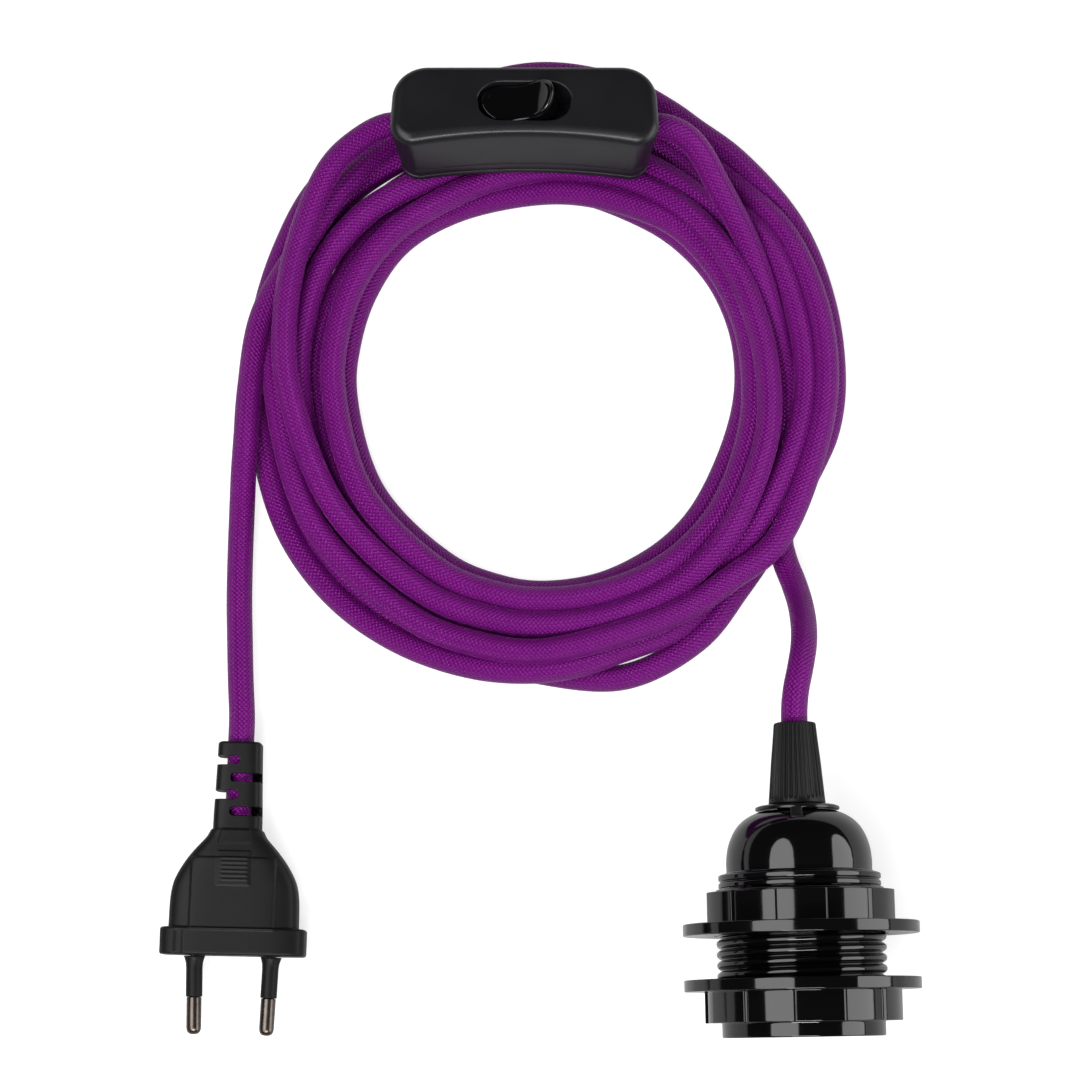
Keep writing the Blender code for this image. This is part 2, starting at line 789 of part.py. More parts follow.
for name, x in (("left", -0.0265), ("right", 0.0265)):
    post = cylinder(
        f"cover_post_{name}", 0.0027, (x, 0.0064, 0.0030), (x, 0.0064, ceiling + 0.0006), None,
        switch, 20
    )
    boolean(cover, post, "UNION")
    posts.append((name, x))
for name, x in posts:
    bore = cylinder(
        f"post_bore_{name}", 0.0014, (x, 0.0064, 0.0020), (x, 0.0064, 0.0140), None, switch, 16
    )
    boolean(cover, bore)

# Base plate with a raised seat for the terminals and two cord saddles
base = lofted(
    "switch_base",
    [
        switch_outline(SWITCH_DRAFT + 0.0005, 0.0),
        switch_outline(SWITCH_DRAFT, 0.0006),
        switch_outline(draft_at(SWITCH_PLATE), SWITCH_PLATE),
    ],
    MATT_BLACK,
    switch,
)
seat_top = 0.0046
terminal_seat = box(
    "terminal_seat", (-0.0200, -0.0056, 0.0016), (0.0200, 0.0066, seat_top), None, switch
)
boolean(base, terminal_seat, "UNION")
for name, x in (("left", -0.0246), ("right", 0.0246)):
    saddle = box(
        f"cord_saddle_{name}", (x - 0.0019, -0.0048, 0.0016), (x + 0.0019, 0.0032, 0.0056), None,
        switch
    )
    boolean(base, saddle, "UNION")
for name, x in posts:
    hole = turned(
        f"base_hole_{name}",
        [(0.0, 0.0030), (0.0015, 0.0030), (0.0015, 0.0013), (0.0027, 0.0013), (0.0027, -0.0010),
         (0.0, -0.0010)],
        None,
        switch,
        (x, 0.0064, 0),
        steps=20,
    )
    boolean(base, hole)
    turned(
        f"case_screw_{name}",
        [(0.0, 0.0120), (0.0011, 0.0115), (0.0011, 0.0010), (0.0023, 0.0010), (0.0023, 0.0001),
         (0.0, 0.0001)],
        STEEL,
        switch,
        (x, 0.0064, 0),
        steps=16,
    )

# Rocker: dished paddle on two trunnions, resting with its left end pressed in
rocker_axis = empty(
    "rocker_axis", (0, OPENING_OFFSET, ROCKER_PIVOT), (0, ROCKER_PRESS, 0), switch
)
half = 0.0093
lip = 0.0062
side_profile = [(half * math.cos(math.radians(a)), 0.0026 - 0.0056 * math.sin(math.radians(a)))
                for a in (0, 30, 60, 90, 120, 150, 180)]
top_profile = [(-half, lip - 0.0014), (-half + 0.0009, lip)]
for part in range(1, 10):
    x = (part / 5 - 1) * (half - 0.0009)
    top_profile.append((x, 0.0036 + (lip - 0.0036) * (x / half) ** 2))
top_profile += [(half - 0.0009, lip), (half, lip - 0.0014)]
paddle = side_profile + top_profile
rocker = extruded(
    "rocker", [paddle], OPENING_WIDTH - 0.0012, GLOSSY_BLACK, rocker_axis, (0, 0, 0),
    (math.radians(90), 0, 0)
)
rocker_plan = extruded(
    "rocker_plan", [stadium(2 * half, OPENING_WIDTH - 0.0012)], 0.030, None, rocker_axis
)
trunnions = cylinder("trunnions", 0.0011, (0, -0.0068, 0), (0, 0.0068, 0), None, rocker_axis, 16)
boolean(rocker, rocker_plan, "INTERSECT")
boolean(rocker, trunnions, "UNION")

# Switching contact, its spring and the terminals
strip(
    "contact_bridge",
    [(-0.0095, 0.0074), (-0.0060, 0.0068), (-0.0018, 0.0062), (0.0018, 0.0062),
     (0.0060, 0.0068), (0.0095, 0.0074)],
    0.0006, 0.0040, BRASS, switch, 0.0030,
)
spring_points = []
for i in range(22):
    angle = 2 * math.pi * i / 7
    spring_points.append(
        (0.0013 * math.cos(angle), 0.0030 + 0.0013 * math.sin(angle), 0.0071 + 0.0042 * i / 21)
    )
spring_curve = bpy.data.curves.new("rocker_spring", "CURVE")
spring_curve.dimensions = "3D"
spring_curve.bevel_depth = 0.0003
spring_curve.bevel_resolution = 1
spring_curve.use_fill_caps = True
spring_line = spring_curve.splines.new("POLY")
spring_line.points.add(len(spring_points) - 1)
for made, point in zip(spring_line.points, spring_points):
    made.co = (*point, 1.0)
spring_curve.materials.append(STEEL)
spring = bpy.data.objects.new("rocker_spring", spring_curve)
spring.parent = switch
parts.objects.link(spring)

terminal_top = 0.0110
screw_places = []
for name, low_x, high_x in (("left", -0.0190, -0.0105), ("right", 0.0105, 0.0190)):
    terminal = box(
        f"line_terminal_{name}",
        (low_x, 0.0010, seat_top + GAP),
        (high_x, 0.0058, terminal_top),
        BRASS,
        switch,
    )
    screw_places.append((f"line_screw_{name}", (low_x + high_x) / 2, 0.0034, terminal))
neutral = box(
    "neutral_link", (-0.0190, -0.0050, seat_top + GAP), (0.0190, -0.0006, 0.0088), BRASS, switch
)
for name, x in (("left", -0.01475), ("right", 0.01475)):
    screw_places.append((f"neutral_screw_{name}", x, -0.0028, neutral))
for name, x, y, terminal in screw_places:
    top = terminal_top if terminal is not neutral else 0.0088
    hole = cylinder(
        name + "_hole", 0.0013, (x, y, top - 0.0034), (x, y, top + 0.001), None, switch, 12
    )
    boolean(terminal, hole)
    turned(
        name,
        [(0.0, top + GAP + 0.0013), (0.0016, top + GAP + 0.0013), (0.0019, top + GAP + 0.0009),
         (0.0019, top + GAP), (0.0010, top + GAP), (0.0010, top - 0.0030), (0.0, top - 0.0030)],
        STEEL,
        switch,
        (x, y, 0),
        steps=14,
    )

# Cord clamps bridging the cord at each end of the case
for name, x in (("left", -0.0246), ("right", 0.0246)):
    clamp_top = CORD_ENTRY_HEIGHT + CORD_DIAMETER / 2 + GAP
    box(
        f"cord_clamp_{name}", (x - 0.0015, -0.0048, clamp_top), (x + 0.0015, 0.0032,
        clamp_top + 0.0016), MATT_BLACK, switch
    )

# Coiled cord: the outer shape of all its turns as one ring
turned(
    "cord_coil",
    [
        (COIL_INNER_RADIUS + 0.0032, COIL_HEIGHT - 0.0004),
        (COIL_INNER_RADIUS + 0.0062, COIL_HEIGHT),
        (COIL_INNER_RADIUS + 0.0128, COIL_HEIGHT - 0.0014),
        (COIL_INNER_RADIUS + 0.0188, COIL_HEIGHT - 0.0031),
        (COIL_INNER_RADIUS + 0.0248, COIL_HEIGHT - 0.0050),
        (COIL_OUTER_RADIUS - 0.0026, 0.0061),
        (COIL_OUTER_RADIUS, CORD_DIAMETER / 2),
        (COIL_OUTER_RADIUS - 0.0026, 0.0),
        (COIL_INNER_RADIUS + 0.0026, 0.0),
        (COIL_INNER_RADIUS, CORD_DIAMETER / 2),
        (COIL_INNER_RADIUS + 0.0006, 0.0088),
    ],
    PURPLE_BRAID,
    place=(*COIL_CENTRE, 0.0),
    steps=60,
)

# Cord from inside the holder, out of the grip and down to the coil
tube(
    "cord_to_holder",
    [
        (0.0, cord_end - HOLDER_LENGTH / 2, RING_FLANGE_RADIUS),
        (0.0, 0.0200, RING_FLANGE_RADIUS),
        (0.0, 0.0320, 0.0279),
        (0.0, 0.0400, 0.0278),
        (0.0008, 0.0480, 0.0272),
        (0.0018, 0.0560, 0.0252),
        (0.0028, 0.0640, 0.0215),
        (0.0031, 0.0710, 0.0168),
        (0.0027, 0.0765, 0.0130),
        (0.0018, 0.0829, 0.0101),
    ],
    CORD_DIAMETER / 2,
    PURPLE_BRAID,
)


def from_plug(x, y, z=0.0):
    """A point of the plug's own frame, in the row frame."""
    c, s = math.cos(PLUG_TURN), math.sin(PLUG_TURN)
    return (PLUG_PLACE[0] + x * c - y * s, PLUG_PLACE[1] + x * s + y * c, PLUG_THICK / 2 + z)


tube(
    "cord_to_plug",
    [
        from_plug(0.0, 0.0303),
        from_plug(0.0, 0.0420),
        from_plug(0.0, 0.0520),
        from_plug(0.0, 0.0580, -0.0002),
        (-0.1343, 0.0520, 0.0056),
        (-0.1346, 0.0620, 0.0044),
        (-0.1348, 0.0720, 0.0036),
        (-0.1346, 0.0830, 0.0034),
        (-0.1340, 0.0956, 0.0034),
    ],
    CORD_DIAMETER / 2,
    PURPLE_BRAID,
)

# Short cord ends from the switch to the top of the coil
for name, side in (("cord_switch_left", -1), ("cord_switch_right", 1)):
    tube(
        name,
        [
            (side * 0.0215, 0.0, CORD_ENTRY_HEIGHT),
            (side * 0.0280, 0.0, CORD_ENTRY_HEIGHT),
            (side * 0.0340, 0.0, CORD_ENTRY_HEIGHT),
            (side * 0.0385, -0.0010, CORD_ENTRY_HEIGHT - 0.0002),
            (side * 0.0430, -0.0036, CORD_ENTRY_HEIGHT - 0.0010),
        ],
        CORD_DIAMETER / 2,
        PURPLE_BRAID,
        spacing=0.0070,
        parent=switch,
    )
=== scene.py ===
"""Looks of the pendant light set: lamp holder, shade rings, cord, cord switch and plug.

Metres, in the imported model's frame: the holder's axis lies along Y with its mouth towards -Y,
and everything rests on the floor at z = 0.
"""

import math

import bpy
import numpy as np
from mathutils import Matrix, Vector


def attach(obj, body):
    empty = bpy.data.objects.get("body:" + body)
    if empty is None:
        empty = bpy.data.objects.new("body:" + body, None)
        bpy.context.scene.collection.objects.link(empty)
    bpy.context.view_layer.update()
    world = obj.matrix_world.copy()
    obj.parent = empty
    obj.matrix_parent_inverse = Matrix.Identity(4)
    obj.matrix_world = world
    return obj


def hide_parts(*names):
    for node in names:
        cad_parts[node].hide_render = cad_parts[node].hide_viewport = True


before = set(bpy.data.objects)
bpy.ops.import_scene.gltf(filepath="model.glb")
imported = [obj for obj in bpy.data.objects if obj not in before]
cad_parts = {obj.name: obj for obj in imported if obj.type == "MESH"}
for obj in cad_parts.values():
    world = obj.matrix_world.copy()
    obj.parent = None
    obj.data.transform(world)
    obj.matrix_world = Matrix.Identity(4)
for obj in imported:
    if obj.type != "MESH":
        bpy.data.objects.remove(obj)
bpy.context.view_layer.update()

# The camera
# It looks down on the set from three quarters of a metre, as for a flat-lay picture, from a
# little in front of the holder's mouth.

camera = bpy.data.objects.new("camera", bpy.data.cameras.new("camera"))
bpy.context.scene.collection.objects.link(camera)
camera_place = Vector((-0.062036, -0.035923, 0.750))
sight = Vector((0.00282, 0.16153, -0.98686))
upright = Vector((0.01722, 0.98671, 0.16155))
across = sight.cross(upright)
camera.matrix_world = Matrix.Translation(camera_place) @ Matrix(
    (
        (across.x, upright.x, -sight.x, 0),
        (across.y, upright.y, -sight.y, 0),
        (across.z, upright.z, -sight.z, 0),
        (0, 0, 0, 1),
    )
)
camera.data.angle = math.radians(20.171)
bpy.context.scene.camera = camera


# The cord
# Round two-core flex, 6.4 mm across, with a tight purple rayon braid woven over it. One
# length runs from the holder's grip to the switch, the other from the switch to the plug.


class Wire:
    """An output socket in arithmetic: each operator adds the Math node that works it out."""

    def __init__(self, finish, socket):
        self.finish = finish
        self.socket = socket

    def math(self, operation, *values):
        return self.finish.node("Math", {"operation": operation}, dict(enumerate(values)))

    def __add__(self, other):
        return self.math("ADD", self, other)

    def __radd__(self, other):
        return self.math("ADD", other, self)

    def __sub__(self, other):
        return self.math("SUBTRACT", self, other)

    def __rsub__(self, other):
        return self.math("SUBTRACT", other, self)

    def __mul__(self, other):
        return self.math("MULTIPLY", self, other)

    def __rmul__(self, other):
        return self.math("MULTIPLY", other, self)

    def __truediv__(self, other):
        return self.math("DIVIDE", self, other)

    def __pow__(self, other):
        return self.math("POWER", self, other)

    def sine(self):
        return self.math("SINE", self)

    def fraction(self):
        return self.math("FRACT", self)

    def size(self):
        return self.math("ABSOLUTE", self)

    def over(self, other):
        return self.math("MAXIMUM", self, other)

    def clamped(self):
        return self.finish.node("Clamp", {}, {0: self})


class Finish:
    """A material: its Principled shader, and the nodes that feed it."""

    def __init__(self, name, **inputs):
        self.material = bpy.data.materials.new(name)
        self.material.use_nodes = True
        self.tree = self.material.node_tree
        self.shader = self.tree.nodes["Principled BSDF"]
        self.feed(self.shader, {key.replace("_", " "): value for key, value in inputs.items()})

    def feed(self, node, inputs):
        for key, value in inputs.items():
            socket = node.inputs[key]
            if isinstance(value, Wire):
                self.tree.links.new(value.socket, socket)
            elif socket.type == "RGBA" and len(value) == 3:
                socket.default_value = (*value, 1.0)
            else:
                socket.default_value = value

    def node(self, kind, settings=None, inputs=None, output=0):
        """One node of that kind: its settings are set first, then its sockets are fed."""
        made = self.tree.nodes.new("ShaderNode" + kind)
        for key, value in (settings or {}).items():
            setattr(made, key, value)
        self.feed(made, inputs or {})
        return Wire(self, made.outputs[output])

    def set(self, **inputs):
        self.feed(self.shader, {key.replace("_", " "): value for key, value in inputs.items()})

    def place(self):
        """Object coordinates, in metres."""
        return self.node("TexCoord", output="Object")

    def noise(self, scale, detail=2.0, where=None):
        where = where or self.place()
        return self.node("TexNoise", {}, {"Vector": where, "Scale": scale, "Detail": detail})

    def blend(self, factor, first, second):
        return self.node("Mix", {"data_type": "RGBA"}, {0: factor, 6: first, 7: second}, 2)

    def bump(self, height, distance, strength=1.0):
        values = {"Height": height, "Distance": distance, "Strength": strength}
        return self.node("Bump", {}, values)


def surface(name, grid, finish, body="set", wrap=(False, False), uv=None, capped=False):
    """A sheet of quads over a grid of points, closed round where wrap says, or capped.

    uv gives the step of u from column to column, and each row's v.
    """
    rows, columns = grid.shape[:2]
    row = np.arange(rows if wrap[0] else rows - 1)[:, None]
    column = np.arange(columns if wrap[1] else columns - 1)[None, :]
    next_row = (row + 1) % rows
    next_column = (column + 1) % columns
    corners = [
        row * columns + column,
        row * columns + next_column,
        next_row * columns + next_column,
        next_row * columns + column,
    ]
    quads = np.stack([c + 0 * row + 0 * column for c in corners], -1).reshape(-1, 4)
    faces = quads.tolist()
    if capped:
        faces += [list(range(columns))[::-1], list(range((rows - 1) * columns, rows * columns))]
    mesh = bpy.data.meshes.new(name)
    mesh.from_pydata(grid.reshape(-1, 3).tolist(), [], faces)
    if uv is not None:
        across_step, along_values = uv
        across_uv = np.stack([column, column + 1, column + 1, column], -1) + 0 * row[..., None]
        along_uv = np.stack([row, row, row + 1, row + 1], -1) + 0 * column[..., None]
        pairs = np.stack([across_uv * across_step, along_values[along_uv]], -1)
        uv_map = mesh.uv_layers.new(name="UVMap")
        uv_map.data.foreach_set("uv", pairs.astype(np.float32).ravel())
    mesh.polygons.foreach_set("use_smooth", [True] * len(mesh.polygons))
    mesh.materials.append(finish.material)
    made = bpy.data.objects.new(name, mesh)
    bpy.context.scene.collection.objects.link(made)
    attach(made, body)
    return made


def smooth_route(points, step):
    """A centripetal Catmull-Rom curve through the points, walked in equal steps, and its length."""
    samples = 24
    points = np.asarray(points, float)
    ends = np.vstack([2 * points[0] - points[1], points, 2 * points[-1] - points[-2]])
    times = np.concatenate([[0], np.cumsum(np.linalg.norm(np.diff(ends, axis=0), axis=1) ** 0.5)])
    pieces = []
    for i in range(1, len(ends) - 2):
        t0, t1, t2, t3 = times[i - 1 : i + 3]
        p0, p1, p2, p3 = ends[i - 1 : i + 3]
        t = np.linspace(t1, t2, samples, endpoint=False)[:, None]
        a = (t1 - t) / (t1 - t0) * p0 + (t - t0) / (t1 - t0) * p1
        b = (t2 - t) / (t2 - t1) * p1 + (t - t1) / (t2 - t1) * p2
        c = (t3 - t) / (t3 - t2) * p2 + (t - t2) / (t3 - t2) * p3
        d = (t2 - t) / (t2 - t0) * a + (t - t0) / (t2 - t0) * b
        e = (t3 - t) / (t3 - t1) * b + (t - t1) / (t3 - t1) * c
        pieces.append((t2 - t) / (t2 - t1) * d + (t - t1) / (t2 - t1) * e)
    line = np.vstack(pieces + [points[-1:]])
    walked = np.concatenate([[0], np.cumsum(np.linalg.norm(np.diff(line, axis=0), axis=1))])
    count = int(round(walked[-1] / step)) + 1
    stops = np.linspace(0, walked[-1], count)
    return np.stack([np.interp(stops, walked, line[:, i]) for i in range(3)], 1), walked[-1]


CORD_RADIUS = 0.0032
CORD_SIDES = 20
CORD_STEP = 0.0016
COIL_CENTRE = np.array((-0.0576, 0.1244))

# The strands of the coil: angle about its centre, then the radius and height of each strand
# there, in millimetres. The letters go from the innermost strand, G, to the one laid on top, A.
STRAND_NAMES = "GXJEDFA"
STRANDS = (
    (118, (52.2, 3.2), (57.6, 3.2), (63.8, 3.2), (61.1, 8.6), (70.3, 3.2), (54.4, 8.8), None),
    (134, (53.2, 3.2), (58.6, 3.2), (64.2, 3.2), (63.4, 9.2), (71.4, 3.2), (55.1, 9.2), (76.1, 17.4)),
    (150, (52.3, 3.2), (58.7, 3.2), (65.3, 3.2), (64.2, 8.9), (70.8, 3.2), (54.9, 9.2), (70.8, 15.3)),
    (165, (51.3, 3.2), (58.6, 3.2), (65.3, 3.2), (62.9, 8.6), (69.8, 5.8), (54.0, 9.2), (67.0, 14.5)),
    (180, (50.7, 3.2), (58.0, 3.2), (65.9, 3.2), (61.7, 8.4), (67.5, 9.0), (53.2, 9.2), (64.0, 14.0)),
    (210, (50.6, 3.2), (57.0, 3.2), (68.3, 3.2), (62.6, 3.9), (67.5, 9.3), (53.2, 9.1), (60.9, 10.6)),
    (240, (51.0, 3.2), (57.3, 3.2), (68.6, 3.2), (63.2, 3.2), (67.5, 9.8), (53.8, 9.0), (60.3, 9.6)),
    (255, (51.4, 3.2), (57.6, 3.2), (69.0, 3.2), (63.5, 3.2), (67.4, 10.6), (54.0, 9.0), (60.2, 9.4)),
    (267, (51.6, 3.2), (57.8, 3.2), (71.0, 3.2), (64.0, 3.2), (67.2, 11.3), (54.0, 9.0), (60.2, 9.3)),
    (284, (51.3, 3.2), (57.3, 3.2), (75.0, 3.2), (62.8, 3.2), (65.3, 11.8), (54.0, 9.0), (60.0, 9.4)),
    (300, (50.7, 3.2), (56.8, 3.2), (73.2, 3.2), (61.6, 3.2), (65.9, 10.6), (54.2, 9.0), (59.9, 9.9)),
    (312, (50.3, 3.2), (56.4, 3.2), (69.3, 3.2), (61.3, 5.6), (66.7, 9.8), (53.9, 9.0), (59.2, 11.2)),
    (324, (49.5, 3.2), (55.9, 3.2), (67.3, 3.2), (62.5, 8.8), (69.2, 9.4), (53.4, 9.0), (58.0, 12.6)),
    (345, (49.2, 3.2), (55.5, 3.2), (66.0, 3.2), (63.4, 9.5), (68.6, 9.8), (52.0, 9.0), (56.2, 13.3)),
    (360, (50.3, 3.2), (56.0, 3.2), (66.0, 3.2), (64.8, 9.3), (69.7, 10.0), (51.7, 9.0), (55.0, 13.4)),
    (376, (51.4, 3.2), (57.2, 3.2), (65.0, 3.2), (65.5, 9.3), (70.6, 9.7), (52.0, 9.0), (54.6, 13.0)),
    (393, (52.1, 3.2), (57.9, 3.2), (62.9, 3.9), (66.5, 8.8), (71.6, 7.9), (52.4, 9.0), (55.5, 12.3)),
    (410, (52.0, 3.2), (58.2, 3.2), (61.6, 8.4), (65.3, 3.6), (71.0, 3.8), (52.6, 9.0), (56.6, 11.0)),
    (426, (51.6, 3.2), (58.2, 3.2), (62.0, 8.9), (68.4, 3.2), (73.8, 3.2), (51.0, 8.8), (57.0, 9.2)),
    (443, (52.8, 3.2), (60.0, 3.2), (61.6, 8.2), (69.0, 3.2), (75.4, 3.2), (50.4, 7.8), (56.0, 9.4)),
    (461, (56.2, 3.2), (62.4, 3.2), (60.9, 8.2), (69.6, 3.2), (76.2, 3.2), (50.5, 5.6), (54.8, 9.4)),
)
# The order in which the longer lead lays them, from the switch to the plug
LAID = "AFGXJED"


def on_coil(angle, radius, height):
    """A point at that angle (degrees), radius and height (millimetres) about the coil's centre."""
    turn = math.radians(angle)
    x, y = COIL_CENTRE + 0.001 * radius * np.array((math.cos(turn), math.sin(turn)))
    return (x, y, 0.001 * height)


# The longer lead, from the switch's left end seven times round the coil to the plug
SWITCH_LEFT = [
    (-0.0835, 0.1886, 0.0203),
    (-0.0900, 0.1887, 0.0203),
    (-0.0960, 0.1888, 0.0202),
    on_coil(126, 76.3, 19.0),
]
long_lead = list(SWITCH_LEFT)
for letter in LAID:
    place = STRAND_NAMES.index(letter)
    for row in STRANDS:
        if row[1 + place]:
            long_lead.append(on_coil(row[0], *row[1 + place]))
long_lead += [
    on_coil(117, 75.8, 3.6),
    on_coil(134, 72.4, 9.2),
    on_coil(150, 71.0, 9.5),
    on_coil(165, 73.2, 9.5),
    (-0.1316, 0.1244, 0.0094),
    (-0.1326, 0.1120, 0.0088),
    (-0.1334, 0.1040, 0.0068),
    (-0.1340, 0.0956, 0.0044),
    (-0.1346, 0.0830, 0.0034),
    (-0.1348, 0.0720, 0.0036),
    (-0.1346, 0.0620, 0.0044),
    (-0.1343, 0.0520, 0.0056),
    (-0.1339, 0.0428, 0.0067),
    (-0.1341, 0.0368, 0.00685),
    (-0.1345, 0.0268, 0.00685),
    (-0.1350, 0.0151, 0.00685),
]

# The shorter lead, from the switch's right end once round the coil to the holder's grip
SWITCH_RIGHT = [
    (-0.0405, 0.1879, 0.0203),
    (-0.0340, 0.1877, 0.0203),
    (-0.0292, 0.1876, 0.0203),
    (-0.0250, 0.1867, 0.0201),
    (-0.0210, 0.1843, 0.0193),
    (-0.0177, 0.1803, 0.0180),
    (-0.0148, 0.1750, 0.0163),
]
short_lead = SWITCH_RIGHT + [
    on_coil(angle, radius, height)
    for angle, radius, height in (
        (34, 61.6, 12.4),
        (16, 59.3, 8.7),
        (0, 60.2, 6.4),
        (-15, 61.2, 4.6),
        (-36, 63.2, 3.3),
        (-48, 64.9, 4.0),
        (-60, 67.8, 4.8),
        (-66, 68.6, 6.0),
        (-76, 68.8, 7.2),
        (-84, 70.4, 8.4),
        (-93, 71.6, 8.6),
        (-105, 72.6, 7.4),
        (-120, 73.4, 5.0),
        (-135, 74.0, 3.3),
        (-150, 73.8, 3.2),
        (-165, 72.5, 3.2),
        (-180, 72.2, 3.2),
        (-195, 73.6, 3.2),
        (-210, 75.6, 3.2),
        (-224, 78.1, 3.2),
        (-245, 79.6, 3.2),
        (-268, 82.4, 3.2),
        (-284, 81.4, 3.2),
        (-294, 79.0, 3.2),
        (-300, 77.5, 3.2),
        (-310, 76.7, 3.2),
        (-327, 75.5, 3.2),
        (-344, 73.4, 3.2),
        (-360, 72.1, 3.2),
    )
] + [
    (0.0124, 0.1125, 0.0032),
    (0.0085, 0.1040, 0.0032),
    (0.0042, 0.0965, 0.0032),
    (0.0010, 0.0905, 0.0033),
    (0.0000, 0.0850, 0.0036),
    (0.0009, 0.0795, 0.0050),
    (0.0026, 0.0735, 0.0080),
    (0.0036, 0.0675, 0.0132),
    (0.0037, 0.0615, 0.0192),
    (0.0031, 0.0560, 0.0240),
    (0.0018, 0.0500, 0.0268),
    (0.0006, 0.0450, 0.0278),
    (0.0, 0.0400, 0.0279),
    (0.0, 0.0320, 0.0279),
    (0.0, 0.0200, 0.0279),
    (0.0, 0.0147, 0.0279),
]


def braid():
    """Rayon braid: two sets of flat strands wound opposite ways, each over two and under two, with
    painted shade in the valleys between them.
    """
    finish = Finish("purple_rayon_braid")
    uv = finish.node("UVMap")
    around = finish.node("SeparateXYZ", {}, {0: uv}, "X")
    along = finish.node("SeparateXYZ", {}, {0: uv}, "Y")
    strands = 18.0
    right = around * strands + along * strands
    left = around * strands - along * strands

    def hump(phase):
        return 1.0 - ((phase.fraction() - 0.5).size() * 2.0) ** 3.0

    weave = ((right * 3.14159).sine() * (left * 3.14159).sine()) * 0.5 + 0.5
    height = (hump(right) * weave).over(hump(left) * (1.0 - weave))
    cloud = finish.noise(90.0)
    fuzz = finish.noise(2600.0, 3.0)
    # Painted shade: where the weave is low, the colour goes to near black, and the crests keep the
    # braid's own colour.
    depth = (height * 0.75 + fuzz * 0.25).clamped()
    light = finish.blend(cloud, (0.138, 0.0026, 0.150), (0.192, 0.0050, 0.196))
    finish.set(
        Base_Color=finish.blend(depth, (0.022, 0.0002, 0.032), light),
        Roughness=0.45 - 0.17 * height,
        Specular_IOR_Level=0.5,
        Specular_Tint=(0.80, 0.20, 0.90, 1.0),
        Sheen_Weight=0.28,
        Sheen_Roughness=0.12,
        Sheen_Tint=(0.95, 0.22, 1.0, 1.0),
        Normal=finish.bump(height * 0.85 + fuzz * 0.15, 0.00032, 1.0),
    )
    return finish


BRAID = braid()


def tube(name, points, radius, sides, finish):
    """A round tube: rings square to the path, kept from twisting by carrying the first one on."""
    ahead = np.gradient(points, axis=0)
    ahead /= np.linalg.norm(ahead, axis=1)[:, None]
    side = np.empty_like(ahead)
    side[0] = np.cross(ahead[0], (0.0, 0.0, 1.0))
    for i in range(1, len(points)):
        side[i] = side[i - 1] - ahead[i] * (side[i - 1] @ ahead[i])
        side[i] /= np.linalg.norm(side[i])
    side[0] /= np.linalg.norm(side[0])
    top = np.cross(side, ahead)
    turn = np.linspace(0, 2 * math.pi, sides, endpoint=False)[None, :, None]
    ring = np.cos(turn) * side[:, None] + np.sin(turn) * top[:, None]
    grid = points[:, None] + radius * ring
    walked = np.concatenate([[0], np.cumsum(np.linalg.norm(np.diff(points, axis=0), axis=1))])
    uv = (1.0 / sides, walked / (2 * math.pi * radius))
    return surface(name, grid, finish, wrap=(False, True), uv=uv)


def lay_cord(name, route, nodes):
    """One length of cord along its route, in place of the CAD's pieces of that cord, which are hidden.
    """
    points, length = smooth_route(route, CORD_STEP)
    points[:, 2] = np.maximum(points[:, 2], CORD_RADIUS)
    made = tube(name, points, CORD_RADIUS, CORD_SIDES, BRAID)
    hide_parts(*nodes)


lay_cord(
    "lead_switch_to_plug",
    long_lead,
    ["cord_to_plug", "cord_switch_left"],
)
lay_cord(
    "lead_switch_to_holder",
    short_lead,
    ["cord_coil", "cord_to_holder", "cord_switch_right"],
)


# The lamp holder
# A screw-cap holder moulded in glossy black phenolic: a threaded sleeve, a domed cap screwed into
# it, and a stem with a ribbed nut that grips the cord. The sleeve's thread is cut in the mould.


def moulding(name, colour, roughness, grain, depth, mottle=0.35, shine=0.5):
    """Moulded plastic: an even grain, slight clouds of colour, and patches rubbed smoother."""
    finish = Finish(name)
    fine = finish.noise(1.0 / grain, 3.0)
    cloud = finish.noise(70.0, 3.0)
    lighter = tuple(level * (1.0 + mottle) for level in colour)
    finish.set(
        Base_Color=finish.blend(cloud, colour, lighter),
        Roughness=(cloud - 0.5) * (0.5 * roughness) + roughness,
        Normal=finish.bump(fine, depth, 0.6),
        Specular_IOR_Level=shine,
    )
    return finish


DEEP_BLACK = (0.0012, 0.0012, 0.0014)
GLOSS_BLACK = moulding("polished_black_phenolic", DEEP_BLACK, 0.08, 0.004, 0.00002)
STEM_BLACK = moulding("moulded_black_stem", (0.003, 0.003, 0.0034), 0.20, 0.0004, 0.00001)
GRIP_BLACK = moulding(
    "satin_black_nylon", (0.0040, 0.0040, 0.0043), 0.46, 0.0003, 0.00002, shine=0.22
)


def hard(made, slot, *nodes):
    """A hard piece: flat faces keep flat shading beside rounded edges."""
    made.modifiers.new("weighting", "WEIGHTED_NORMAL")
    if nodes:
        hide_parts(*nodes)
    return made


def filleted(corners, cut, parts=3):
    """A closed outline with each corner rounded over the distance cut, as a quadratic curve."""
    corners = np.asarray(corners, float)
    points = []
    for before, here, after in zip(np.roll(corners, 1, 0), corners, np.roll(corners, -1, 0)):
        start = here + (before - here) * min(cut / np.linalg.norm(before - here), 0.45)
        end = here + (after - here) * min(cut / np.linalg.norm(after - here), 0.45)
        for t in np.linspace(0, 1, parts + 1):
            points.append((1 - t) ** 2 * start + 2 * t * (1 - t) * here + t * t * end)
    return np.array(points)


class Axis:
    """An axis to turn shapes about: station along it, turn from its top towards its right."""

    def __init__(self, origin, along, top):
        self.origin = np.array(origin, float)
        self.along = np.array(along, float) / np.linalg.norm(along)
        self.right = np.cross(self.along, top)
        self.right /= np.linalg.norm(self.right)
        self.top = np.cross(self.right, self.along)

    def points(self, radius, station, turn):
        radius, station, turn = (v[..., None] for v in np.broadcast_arrays(radius, station, turn))
        round_it = np.sin(turn) * self.right + np.cos(turn) * self.top
        return self.origin + station * self.along + radius * round_it


